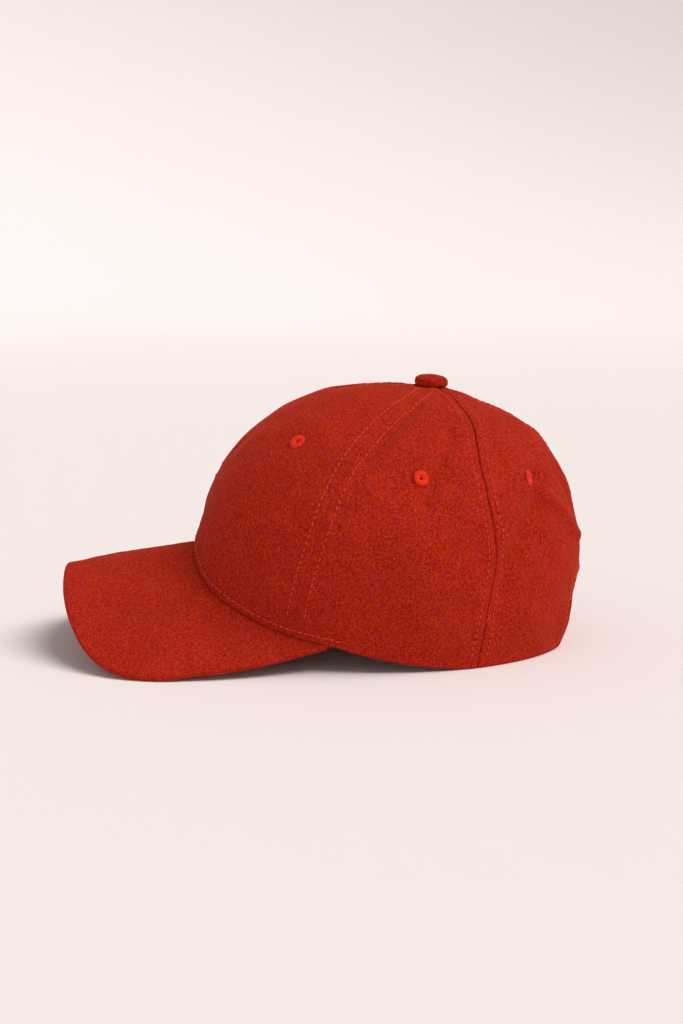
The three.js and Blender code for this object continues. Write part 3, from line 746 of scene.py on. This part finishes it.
def stitch_rows(name, rows, side):
    """One mesh of stitches for several rows of (angles, ups)."""
    lines = []
    for i, (angle, up, extra) in enumerate(rows):
        p, n = surface_path(angle, up, side, extra)
        lines.append(along_path(p, n, STITCH_PITCH, STITCH_LENGTH, seed=41 + i + (7 if side < 0 else 0)))
    verts, quads, fans = tubes(np.concatenate(lines), STITCH_RADIUS)
    verts[:, 0] *= side
    return add_mesh(name, verts, quads, fans, flip=side > 0)


def painted_needle_hole_shade(name, rows, side):
    """Small dark marks where the needle went through, between the stitches of each row: painted shade of the needle
    holes.
    """
    marks = []
    for i, (angle, up, extra) in enumerate(rows):
        p, n = surface_path(angle, up, side, extra)
        lifted = along_path(p, n, STITCH_PITCH, 0.7, start=STITCH_PITCH / 2, seed=61 + i)
        ends = lifted[:, [0, 6]].mean(1)
        way = unit(lifted[:, 6] - lifted[:, 0])
        marks.append(ends[:, None] + way[:, None] * np.array([-0.3, -0.15, 0.0, 0.15, 0.3])[None, :, None])
    verts, quads, fans = tubes(np.concatenate(marks), PIT_RADIUS, ends=0.5)
    verts[:, 0] *= side
    return add_mesh(name, verts, quads, fans, flip=side > 0)


def seam_path(number, low, high, count=260):
    up = np.linspace(low, high, count)
    return np.radians(seams_at(up)[number]), up


def outside_button(angle, up):
    p = plain_crown(angle, up)
    keep = np.hypot(p[:, 0], p[:, 1] - APEX_BACK) > BUTTON_WIDTH / 2 + 1.2
    return angle[keep], up[keep]


def arch_path(count=200):
    across = np.linspace(OPENING_CORNER + 0.002, 1, count)
    return panel_point(2, across, np.zeros(count))


def crown_stitching(side):
    label = "left" if side > 0 else "right"
    made, pitted = [], []
    for number, where, start in ((1, "front_side", START_OVER_BRIM), (2, "side_back", START_BEHIND)):
        rows = []
        for distance in (ROW_BESIDE_SEAM, -ROW_BESIDE_SEAM):
            angle, up = outside_button(*offset_path(*seam_path(number, 0.0, 0.99), distance))
            rows.append((angle[up > start], up[up > start], SIDE_ROW_LIFT))
        made.append(stitch_rows("stitches_%s_%s" % (where, label), rows, side))
        pitted.extend((angle, up, PIT_LIFT) for angle, up, _ in rows)
    angle, up = outside_button(*offset_path(*seam_path(0, 0.0, 0.99), -ROW_BESIDE_SEAM))
    front = np.abs(angle[up > START_OVER_BRIM]), up[up > START_OVER_BRIM], MIDDLE_ROW_LIFT
    back = outside_button(*offset_path(*seam_path(3, OPENING_RISE + 0.03, 0.99), ROW_BESIDE_SEAM))
    made.append(stitch_rows("stitches_middle_%s" % label, [front, (*back, MIDDLE_ROW_LIFT)], side))
    turn = np.radians(np.linspace(0.4, BRIM_TAIL_ANGLE + 2.5, 300))
    above = (*offset_path(turn, np.zeros(300), ROW_ABOVE_BRIM), BRIM_ROW_LIFT)
    angle, up = offset_path(*arch_path(), ROW_BESIDE_HEM)
    hem = angle[up > 0.012], up[up > 0.012], HEM_ROW_LIFT
    made.append(stitch_rows("stitches_hem_%s" % label, [above, hem], side))
    return made, painted_needle_hole_shade("needle_holes_%s" % label, pitted, side)


def eyelet(name, angle, up, side):
    """Buttonhole-stitched ring: close radial threads wrapped from the bore over the cloth to the outside."""
    centre, axis = eyelet_place(angle, up, side)
    first = unit(np.cross(axis, [0, 0, 1]))
    second = np.cross(axis, first)
    rng = np.random.default_rng(int(angle) + (5 if side < 0 else 0))
    count = 44
    turn = (np.arange(count) + rng.uniform(-0.12, 0.12, count)) / count * 2 * np.pi
    bore, wide = EYELET_BORE / 2, EYELET_WIDTH / 2
    reach = wide + rng.uniform(-0.22, 0.12, count)
    shares = np.array([0, 0.06, 0.2, 0.4, 0.6, 0.8, 0.94, 1.0])
    height = np.array([-1.2, 0.0, 0.34, 0.46, 0.46, 0.36, 0.08, -0.4])
    radial = bore + 0.36 + (reach[:, None] - bore - 0.36) * shares[None]
    drift = turn[:, None] + 0.03 * rng.uniform(-1, 1, count)[:, None] * shares[None]
    threads = centre + spokes(drift, first, second) * radial[..., None] + axis * height[None, :, None]
    verts, quads, fans = tubes(threads, 0.3, ends=0.8)
    # The felted bed under the threads, which shows only as the dark between them.
    profile = np.array(
        [
            (bore, -CLOTH - 0.9),
            (bore, 0.0),
            (bore + 0.5, 0.3),
            ((bore + wide) / 2, 0.4),
            (wide - 0.7, 0.22),
            (wide - 0.35, -0.25),
            (wide - 0.6, -0.45),
            (EYELET_NECK / 2 + 0.05, -0.5),
            (EYELET_NECK / 2 + 0.05, -CLOTH - 0.2),
            (wide - 0.6, -CLOTH - 0.3),
            (wide - 0.45, -CLOTH - 0.8),
            ((bore + wide) / 2, -CLOTH - 1.2),
        ]
    )
    sides = 40
    spin = np.arange(sides) / sides * 2 * np.pi
    ring = centre + (
        spokes(spin, first, second)[:, None] * profile[None, :, 0, None] + axis * profile[None, :, 1, None]
    )
    bed = strip_quads(sides, len(profile), round_points=True)
    bed_verts = ring.reshape(-1, 3)
    if wound_inwards(bed_verts, bed, centre):
        bed = bed[:, ::-1]
    first_thread = quads[: THREAD_SIDES * (len(shares) - 1)]
    if wound_inwards(verts, first_thread, threads[0].mean(0)):
        quads, fans = quads[:, ::-1], fans[:, ::-1]
    all_verts = np.concatenate([verts, bed_verts])
    all_quads = np.concatenate([quads, bed + len(verts)])
    all_verts[:, 0] *= side
    return add_mesh(name, all_verts, all_quads, fans, flip=side < 0)


def button():
    """Cloth-covered button: a soft pillow over a shank, gathered a little towards its underside."""
    wide = BUTTON_WIDTH / 2
    base = 0.15
    rng = np.random.default_rng(3)
    profile = np.array(
        [
            (0.0, 1.0), (0.12, 0.999), (0.25, 0.992), (0.38, 0.978), (0.5, 0.957), (0.61, 0.926), (0.71, 0.885),
            (0.8, 0.83), (0.87, 0.765), (0.925, 0.69), (0.965, 0.6), (0.99, 0.5), (1.0, 0.39), (0.995, 0.28),
            (0.975, 0.18), (0.94, 0.09), (0.88, 0.025), (0.8, 0.0), (0.6, 0.0), (0.4, 0.0), (0.22, 0.0),
        ]
    )
    sides = 120
    spin = np.arange(sides) / sides * 2 * np.pi
    folds = 0
    for k, amount in ((5, 0.012), (9, 0.01), (13, 0.011), (23, 0.008)):
        folds = folds + amount * np.sin(k * spin + rng.uniform(0, 6.28))
    radius, height = profile[:, 0] * wide, base + profile[:, 1] * BUTTON_HEIGHT
    depth = np.clip((0.75 - profile[:, 1]) / 0.75, 0, 1) * (profile[:, 0] > 0.5)
    r = radius[None] * (1 + folds[:, None] * depth[None])
    tilt = math.radians(BUTTON_TILT)
    axis = np.array([0, math.sin(tilt), math.cos(tilt)])
    first = np.array([1.0, 0, 0])
    centre = np.array([0, APEX_BACK, CROWN_HEIGHT])
    round_axis = spokes(spin, first, np.cross(axis, first))[:, None]
    uneven = Ripple(77, 5.5)
    grid = centre + round_axis * r[..., None] + axis * height[None, :, None]
    out = unit(grid - (centre + axis * (base + BUTTON_HEIGHT * 0.35)))
    grid = grid + out * (0.09 * uneven(grid) * np.minimum(1, profile[:, 0] * 3))[..., None]
    # Shank and inner disc under the pillow, plain because they don't show
    low = -CLOTH - GAP
    shank = np.array(
        [
            (SHANK_WIDTH / 2, base),
            (SHANK_WIDTH / 2, low - 1),
            (5.0, low - 1),
            (5.5, low - 1.75),
            (5.0, low - 2.5),
            (1.2, low - 2.5),
        ]
    )
    rings = centre + round_axis * shank[None, :, 0, None] + axis * shank[None, :, 1, None]
    m, q = len(profile) - 1, len(shank)
    start = 1 + sides * m
    closing = start + sides * q
    verts = np.concatenate(
        [[grid[0, 0]], grid[:, 1:].reshape(-1, 3), rings.reshape(-1, 3), [centre + axis * (low - 2.5)]]
    )
    here = np.arange(sides)
    after = (here + 1) % sides
    top = np.stack([np.zeros(sides, int), 1 + here * m, 1 + after * m], -1)
    join = np.stack([here * m + m, start + here * q, start + after * q, after * m + m], -1)
    last = start + here * q + q - 1
    bottom = np.stack([last, np.full(sides, closing), np.roll(last, -1)], -1)
    quads = np.concatenate([strip_quads(sides, m, 1), join, strip_quads(sides, q, start)])
    lengths = np.cumsum(np.hypot(np.diff(radius), np.diff(height)))
    uv = np.zeros((len(verts), 2))
    uv[1:start] = np.stack([np.cos(spin)[:, None] * lengths, np.sin(spin)[:, None] * lengths], -1).reshape(-1, 2)
    return add_mesh("button_cloth", verts, quads, np.concatenate([top, bottom]), uv=uv)


def end_faces(count, n):
    """Faces that close the first and last of some rings, each ring folded flat at its middle point."""
    quads, triangles = [], []
    for start, order in ((0, 1), ((count - 1) * n, -1)):
        for i in range((n + 1) // 2 - 1):
            a, b = start + i, start + i + 1
            d, c = start + n - 1 - i, start + n - 2 - i
            if c == b:
                triangles.append([a, b, d][::order])
            else:
                quads.append([a, b, c, d][::order])
    return np.array(quads), triangles


# A faint crease on the left of the brim, as a chain of points in plan
CREASE = np.array([(78.5, -97.0, 0.0), (80.5, -86.5, 0.0), (81.0, -75.0, 0.0), (80.0, -64.0, 0.0)])


def brim():
    """Brim with its cloth cover, rounded outer edge and the seam edge turned up inside the crown."""
    count = 300
    even = np.linspace(-1, 1, count)
    across = np.sign(even) * (1 - (1 - np.abs(even)) ** 1.15)
    turn, inner, outer, rounding, width = brim_section(across)
    flat = np.linspace(0, 1, 74)[1:]
    theta = np.linspace(0, np.pi / 2, 8)[1:]
    round_share = rounding[:, None]
    top_share = np.concatenate([flat[None] * (1 - round_share), 1 - round_share * (1 - np.sin(theta))[None]], 1)
    top_down = np.concatenate([np.zeros(len(flat)), (1 - np.cos(theta)) / 2])
    inset = CLOTH + FLANGE_EASE
    rise = FLANGE_HEIGHT / (CROWN_HEIGHT - rim_height(turn)) * FLANGE_RISE_SHARE

    def flange(depth, up):
        normal = crown_normal(turn, up)
        off = relief(np.abs(turn), up, fine=False) * smooth(up, 0, 0.02) - depth
        return plain_crown(turn, up) + normal * off[:, None]

    def layer(down_share, sign):
        x = inner[:, None, 0] + (outer - inner)[:, None, 0] * top_share
        y = inner[:, None, 1] + (outer - inner)[:, None, 1] * top_share
        depth = np.broadcast_to(down_share * BRIM_THICKNESS, x.shape)
        p = under_brim(x, y, depth, BRIM_DROP)
        edge = (1 - top_share) * width[:, None]
        soft = smooth(edge, 1.0, 9.0) * smooth(top_share * width[:, None], 4.0, 12.0)
        off = (0.2 * BROAD[1](p * 0.8) + 0.09 * MIDDLE[1](p)) * soft + 0.03 * FINE[1](p) * smooth(edge, 0, 2.0)
        if sign > 0:
            # A faint crease where the cover is eased round the stiffener.
            crease = near_lines(p * [1, 1, 0], CREASE[:-1], CREASE[1:]).min(-1)
            off = off - 0.35 * np.exp(-((crease / 0.8) ** 2)) + 0.12 * np.exp(-(((crease - 1.8) / 1.2) ** 2))
        off = off + 0.14 * np.exp(-(((edge - 2.2) / 1.3) ** 2))
        n = unit(np.cross(np.gradient(p, axis=1), np.gradient(p, axis=0)))
        n *= np.sign(n[..., 2:3]) if sign > 0 else -np.sign(n[..., 2:3])
        return p + n * (off * (down_share == 0 if sign > 0 else down_share == 1))[..., None]

    upper = layer(top_down, 1)
    lower = layer(1 - top_down, -1)
    foot = plain_crown(turn, np.zeros(count))
    flat_normal = unit(crown_normal(turn, np.zeros(count)) * [1, 1, 0])
    outer_foot = foot - flat_normal * inset
    outer_foot[:, 2] = brim_top(outer_foot[:, 0], outer_foot[:, 1])
    inner_foot = foot - flat_normal * (inset + FLANGE_THICKNESS)
    inner_foot = under_brim(inner_foot[:, 0], inner_foot[:, 1], np.full(count, BRIM_THICKNESS), BRIM_DROP)
    top_line = np.concatenate([flange(inset, rise)[:, None], outer_foot[:, None], upper], 1)
    low_line = np.concatenate([flange(inset + FLANGE_THICKNESS, rise)[:, None], inner_foot[:, None], lower], 1)
    ring = np.concatenate([top_line, low_line[:, ::-1][:, 1:]], 1)
    n = ring.shape[1]
    quads = strip_quads(count, n, round_rings=False, round_points=True)
    caps, tips = end_faces(count, n)
    arc = np.linspace(-100, 100, 2001)
    steep = BRIM_DROP * arc / np.hypot(arc, BRIM_CREST_RADIUS)
    cloth = np.concatenate([[0], np.cumsum(np.hypot(1, steep)[1:] * np.diff(arc))])
    u = np.interp(ring[..., 0], arc, cloth - cloth[1000])
    uv = np.stack([u.ravel(), -ring[..., 1].ravel()], -1)
    return add_mesh("brim_cloth", ring.reshape(-1, 3), np.concatenate([quads, caps]), tips, uv=uv)


def strap():
    """Cloth strap behind the half-moon opening, with its edges turned in."""
    reach = OPENING_HALF_ANGLE + STRAP_OVERLAP_ANGLE
    degrees = 180 - reach + 2 * reach * np.linspace(0, 1, 120)
    top_up = STRAP_HEIGHT / CROWN_HEIGHT * STRAP_RISE_SHARE
    level = spaced(HEM_STEPS, HEM_STEPS, 1.0, STRAP_HEIGHT) / STRAP_HEIGHT
    angle, up = np.meshgrid(np.radians(degrees), level * top_up)
    base, normal = plain_crown(angle, up), crown_normal(angle, up)
    plain = relief(angle, up, fine=False) * smooth(up, 0, 0.02)
    edge = np.minimum(level, 1 - level)[:, None] * STRAP_HEIGHT + 0 * angle
    turned_in = hem_depth(edge, CLOTH / 2)
    row = np.exp(-(((edge - ROW_IN_STRAP) / 0.7) ** 2))
    ripple = 0.12 * MIDDLE[1](base) * smooth(edge, 0, 3) + 0.03 * FINE[1](base)
    outer = base + normal * (plain - CLOTH - STRAP_EASE - turned_in - 0.25 * row + ripple)[..., None]
    inner = base + normal * (plain - 2 * CLOTH - STRAP_EASE + turned_in)[..., None]
    rows, cols = angle.shape
    faces = cell_quads(rows, cols)
    quads = np.concatenate([faces, (faces + rows * cols)[:, ::-1], rim_quads(rows, cols)])
    u, v = cloth_lengths(base)
    uv = np.stack([np.tile(u.ravel(), 2), np.tile(v.ravel(), 2)], -1)
    verts = np.concatenate([outer.reshape(-1, 3), inner.reshape(-1, 3)])
    made = add_mesh("strap_cloth", verts, quads, uv=uv, flip=False)
    lines = []
    for at in (ROW_IN_STRAP / STRAP_HEIGHT, 1 - ROW_IN_STRAP / STRAP_HEIGHT):
        a = np.radians(degrees)[4:-4]
        h = np.full(a.shape, at * top_up)
        n = crown_normal(a, h)
        p = plain_crown(a, h) + n * (relief(a, h, fine=False) - CLOTH - STRAP_EASE - 0.12)[:, None]
        lines.append(along_path(p, n, STITCH_PITCH, STITCH_LENGTH, seed=91))
    v2, q2, f2 = tubes(np.concatenate(lines), STITCH_RADIUS)
    return made, add_mesh("stitches_strap", v2, q2, f2, flip=True)


# Materials


def srgb(r, g, b):
    def linear(c):
        c /= 255
        return c / 12.92 if c <= 0.04045 else ((c + 0.055) / 1.055) ** 2.4

    return (linear(r), linear(g), linear(b), 1.0)


class Shader:
    """Small helper for building a material's nodes."""

    def __init__(self, name):
        self.material = bpy.data.materials.new(name)
        self.material.use_nodes = True
        self.tree = self.material.node_tree
        self.bsdf = self.tree.nodes["Principled BSDF"]

    def node(self, kind, **settings):
        made = self.tree.nodes.new(kind)
        for key, value in settings.items():
            setattr(made, key, value)
        return made

    def link(self, source, target):
        self.tree.links.new(source, target)

    def put(self, value, socket):
        if isinstance(value, (int, float, tuple)):
            socket.default_value = value
        else:
            self.link(value, socket)

    def values(self, **settings):
        """Sets the shader's own sockets, named with an underline for each space."""
        for key, value in settings.items():
            self.bsdf.inputs[key.replace("_", " ")].default_value = value

    def math(self, operation, *values):
        made = self.node("ShaderNodeMath", operation=operation)
        for value, socket in zip(values, made.inputs):
            self.put(value, socket)
        return made.outputs[0]

    def noise(self, vector, scale, detail=2.0, roughness=0.5, distortion=0.0):
        made = self.node("ShaderNodeTexNoise")
        made.inputs["Scale"].default_value = scale
        made.inputs["Detail"].default_value = detail
        made.inputs["Roughness"].default_value = roughness
        made.inputs["Distortion"].default_value = distortion
        self.link(vector, made.inputs["Vector"])
        return made.outputs["Fac"]

    def shade(self, colour, value):
        made = self.node("ShaderNodeHueSaturation")
        self.link(value, made.inputs["Value"])
        self.link(colour, made.inputs["Color"])
        return made.outputs[0]

    def bump(self, height, strength, distance):
        made = self.node("ShaderNodeBump")
        made.inputs["Strength"].default_value = strength
        made.inputs["Distance"].default_value = distance
        self.link(height, made.inputs["Height"])
        self.link(made.outputs[0], self.bsdf.inputs["Normal"])

    def ramp(self, value, *stops):
        made = self.node("ShaderNodeValToRGB")
        elements = made.color_ramp.elements
        while len(elements) < len(stops):
            elements.new(0.5)
        for element, (at, colour) in zip(elements, stops):
            element.position = at
            element.color = colour
        self.link(value, made.inputs[0])
        return made.outputs[0]

    def mix(self, factor, a, b, blend="MIX"):
        made = self.node("ShaderNodeMix", data_type="RGBA", blend_type=blend)
        for value, index in ((factor, 0), (a, 6), (b, 7)):
            self.put(value, made.inputs[index])
        return made.outputs[2]

    def level(self, value, low, high, to_low=0.0, to_high=1.0):
        made = self.node("ShaderNodeMapRange")
        made.inputs[1].default_value = low
        made.inputs[2].default_value = high
        made.inputs[3].default_value = to_low
        made.inputs[4].default_value = to_high
        self.link(value, made.inputs[0])
        return made.outputs[0]


def cloth_material(name, orange, crimson, dark, light):
    """Heathered woven cloth: two reds mixed in the yarn, a plain weave with pores, felted fibres and wear."""
    s = Shader(name)
    place = s.node("ShaderNodeTexCoord").outputs["Object"]
    uv = s.node("ShaderNodeUVMap", uv_map="cloth").outputs[0]

    # Yarns cross in millimetres of cloth, made uneven by noise.
    wander = s.node("ShaderNodeTexNoise")
    wander.inputs["Scale"].default_value = 0.42
    wander.inputs["Detail"].default_value = 3.0
    s.link(uv, wander.inputs["Vector"])
    shift = s.node("ShaderNodeVectorMath", operation="MULTIPLY_ADD")
    s.link(wander.outputs["Color"], shift.inputs[0])
    shift.inputs[1].default_value = (2.4, 2.4, 0)
    s.link(uv, shift.inputs[2])
    split = s.node("ShaderNodeSeparateXYZ")
    s.link(shift.outputs[0], split.inputs[0])
    warp = s.math("SINE", s.math("MULTIPLY", split.outputs[0], 2 * math.pi / YARN_PITCH))
    weft = s.math("SINE", s.math("MULTIPLY", split.outputs[1], 2 * math.pi / YARN_PITCH))
    over = s.math("MULTIPLY", warp, weft)
    ridge = s.math("MAXIMUM", warp, weft)

    # Colour: crimson and orange fibres in patches of a few yarns, and dark flecks; the low places of the weave are
    # darker too, which is painted shade.
    patch = s.noise(place, 330, 2.0, 0.55)
    fleck = s.noise(place, 900, 3.0, 0.75)
    second_fleck = s.noise(place, 1000, 1.0, 0.5, 0.3)
    broad = s.noise(place, 45, 3.0, 0.5)
    pick = s.math("ADD", s.math("MULTIPLY", patch, 0.72), s.math("MULTIPLY", second_fleck, 0.28))
    base = s.ramp(pick, (0.4, crimson), (0.6, orange))
    # Dark flecks are the yarn's own colour; the weave terms darken its low places, which is painted shade.
    fleck_and_weave_shade = s.math("ADD", s.math("MULTIPLY", fleck, 0.85), s.math("MULTIPLY", over, 0.06))
    fleck_and_weave_shade = s.math("ADD", fleck_and_weave_shade, s.math("MULTIPLY", ridge, 0.05))
    base = s.mix(1.0, base, s.ramp(fleck_and_weave_shade, (0.36, dark), (0.58, (1, 1, 1, 1))), "MULTIPLY")
    pale = s.ramp(second_fleck, (0.6, (0, 0, 0, 1)), (0.76, (1, 1, 1, 1)))
    base = s.mix(s.math("MULTIPLY", pale, 0.22), base, light)
    tone = s.shade(base, s.level(broad, 0.3, 0.7, 0.93, 1.06))
    edge = s.node("ShaderNodeNewGeometry").outputs["Pointiness"]
    worn = s.level(edge, 0.53, 0.64, 0.0, 0.25)
    colour = s.mix(worn, tone, light)
    s.link(colour, s.bsdf.inputs["Base Color"])

    rough = s.level(pick, 0.3, 0.7, 0.86, 0.98)
    s.link(rough, s.bsdf.inputs["Roughness"])
    s.values(Specular_IOR_Level=0.05, Sheen_Weight=0.12, Sheen_Roughness=0.5, Sheen_Tint=(1.0, 0.22, 0.12, 1.0))

    height = s.math("ADD", s.math("MULTIPLY", over, 0.25), s.math("MULTIPLY", fleck, 0.8))
    height = s.math("ADD", height, s.math("MULTIPLY", second_fleck, 0.5))
    s.bump(height, 0.5, 0.00022)
    return s.material


def thread_material(name, colour, dark):
    """Spun sewing thread: fine ply lines, a slight sheen and small changes of tone."""
    s = Shader(name)
    place = s.node("ShaderNodeTexCoord").outputs["Object"]
    ply = s.noise(place, 4200, 2.0, 0.6)
    tone = s.noise(place, 300, 2.0, 0.5)
    base = s.mix(s.level(ply, 0.35, 0.65), dark, colour)
    s.link(s.shade(base, s.level(tone, 0.3, 0.7, 0.9, 1.06)), s.bsdf.inputs["Base Color"])
    s.link(s.level(ply, 0.3, 0.7, 0.55, 0.75), s.bsdf.inputs["Roughness"])
    s.values(Specular_IOR_Level=0.12, Sheen_Weight=0.08, Sheen_Tint=(1.0, 0.3, 0.16, 1.0))
    s.bump(ply, 0.4, 0.00008)
    return s.material


CLOTH_LOOK = cloth_material(
    "heathered_red_cloth",
    srgb(186, 53, 13),
    srgb(184, 50, 46),
    (0.6, 0.18, 0.06, 1.0),
    srgb(206, 80, 62),
)
THREAD_LOOK = thread_material("bright_red_thread", srgb(238, 76, 44), srgb(200, 48, 24))
# Dark material for the needle-hole marks: it paints the shade inside the holes.
HOLE_SHADE_LOOK = thread_material("needle_hole_painted_shade", srgb(112, 16, 8), srgb(84, 10, 6))
EYELET_LOOK = thread_material("eyelet_thread", srgb(240, 56, 32), srgb(200, 36, 18))


def finish_piece(made, material, slot, *nodes):
    made.data.materials.append(material)
    if nodes:
        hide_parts(*nodes)
    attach(made, "root")


for side, label in ((1, "left"), (-1, "right")):
    for number, key in enumerate(("front", "side", "back")):
        node = "crown_%s_%s" % (key, label)
        finish_piece(panel("cloth_" + key + "_" + label, number, side), CLOTH_LOOK, "cap_cloth", node)
        node = "eyelet_%s_%s" % (key, label)
        finish_piece(eyelet("thread_eyelet_%s_%s" % (key, label), *EYELETS[key], side), EYELET_LOOK, "thread", node)
    stitches, hole_shade_marks = crown_stitching(side)
    for made in stitches:
        finish_piece(made, THREAD_LOOK, "thread")
    # The needle-hole marks carry painted shade.
    finish_piece(hole_shade_marks, HOLE_SHADE_LOOK, "thread")
finish_piece(button(), CLOTH_LOOK, "cap_cloth", "top_button")
finish_piece(brim(), CLOTH_LOOK, "cap_cloth", "brim")
strap_cloth, strap_stitches = strap()
finish_piece(strap_cloth, CLOTH_LOOK, "cap_cloth", "back_strap")
finish_piece(strap_stitches, THREAD_LOOK, "thread")


# Studio: a pale floor that curves up all round, soft light from above, and the camera


def studio():
    radius, rise, sides = 4.5, 0.05, 96
    profile = [(0.0, 0.0), (0.6, 0.0), (1.6, 0.0), (3.0, 0.0)]
    bend_radius = 1.5
    for i in range(1, 13):
        a = i / 12 * math.pi / 2
        profile.append((radius - bend_radius + bend_radius * math.sin(a), bend_radius * (1 - math.cos(a))))
    profile.append((radius, bend_radius + rise))
    verts, faces = [], []
    for r, z in profile:
        for k in range(sides):
            a = k / sides * 2 * math.pi
            verts.append((r * math.cos(a), r * math.sin(a), z))
    for i in range(len(profile) - 1):
        for k in range(sides):
            a, b = i * sides + k, i * sides + (k + 1) % sides
            faces.append((a, b, b + sides, a + sides))
    mesh = bpy.data.meshes.new("studio_floor")
    mesh.from_pydata(verts, [], faces)
    mesh.polygons.foreach_set("use_smooth", np.ones(len(faces), bool))
    mesh.update()
    floor = new_object("studio_floor", mesh)
    s = Shader("pale_floor")
    s.values(Base_Color=(0.86, 0.79, 0.775, 1), Roughness=0.9, Specular_IOR_Level=0.1, Emission_Strength=1.0)
    # The far side of the sweep glows a little in its own emission: painted light, as a background light would give.
    split = s.node("ShaderNodeSeparateXYZ")
    s.link(s.node("ShaderNodeTexCoord").outputs["Object"], split.inputs[0])
    glow = s.level(split.outputs[0], -1.0, -4.5, 0.0, 1.0)
    s.link(s.mix(glow, (0, 0, 0, 1), (0.07, 0.066, 0.064, 1)), s.bsdf.inputs["Emission Color"])
    mesh.materials.append(s.material)

    world = bpy.data.worlds.new("studio_light")
    world.use_nodes = True
    back = world.node_tree.nodes["Background"]
    back.inputs["Color"].default_value = (1.0, 0.975, 0.965, 1)
    back.inputs["Strength"].default_value = 0.37
    bpy.context.scene.world = world

    fill = bpy.data.lights.new("fill_light", "AREA")
    fill.shape = "DISK"
    fill.size = 1.6
    fill.energy = 8
    fill.color = (1, 0.98, 0.96)
    lamp = new_object("fill_light", fill)
    lamp.location = (2.6, -0.5, 0.3)
    lamp.rotation_euler = (Vector((0, 0, 0.05)) - lamp.location).to_track_quat("-Z", "Y").to_euler()

    sun = bpy.data.lights.new("soft_key", "SUN")
    sun.energy = 2.45
    sun.angle = math.radians(42)
    sun.color = (1, 0.985, 0.97)
    key = new_object("soft_key", sun)
    key.rotation_euler = Vector((0.18, 0.62, 1.0)).to_track_quat("Z", "Y").to_euler()


studio()

AZIMUTH, ELEVATION, DISTANCE = math.radians(87.18), math.radians(9.57), 0.9032
TARGET = Vector((0, -0.0013, 0.062))
ROLL = math.radians(-0.26)
FOCAL_PIXELS, IMAGE_HEIGHT = 1705.0, 1024.0
SHIFT_PIXELS = (-21.82, 9.15)

back = Vector(
    (
        math.sin(AZIMUTH) * math.cos(ELEVATION),
        -math.cos(AZIMUTH) * math.cos(ELEVATION),
        math.sin(ELEVATION),
    )
)
camera_data = bpy.data.cameras.new("camera")
camera_data.sensor_fit = "AUTO"
camera_data.sensor_width = 36
camera_data.lens = FOCAL_PIXELS / IMAGE_HEIGHT * camera_data.sensor_width
camera_data.shift_x = -SHIFT_PIXELS[0] / IMAGE_HEIGHT
camera_data.shift_y = SHIFT_PIXELS[1] / IMAGE_HEIGHT
camera_data.clip_start = 0.05
camera = new_object("camera", camera_data)
camera.location = TARGET + back * DISTANCE
turn = (-back).to_track_quat("-Z", "Y").to_matrix().to_4x4()
camera.matrix_world = Matrix.Translation(camera.location) @ turn @ Matrix.Rotation(ROLL, 4, "Z")
bpy.context.scene.camera = camera
bpy.context.scene.view_settings.view_transform = "Standard"
bpy.context.scene.view_settings.look = "None"
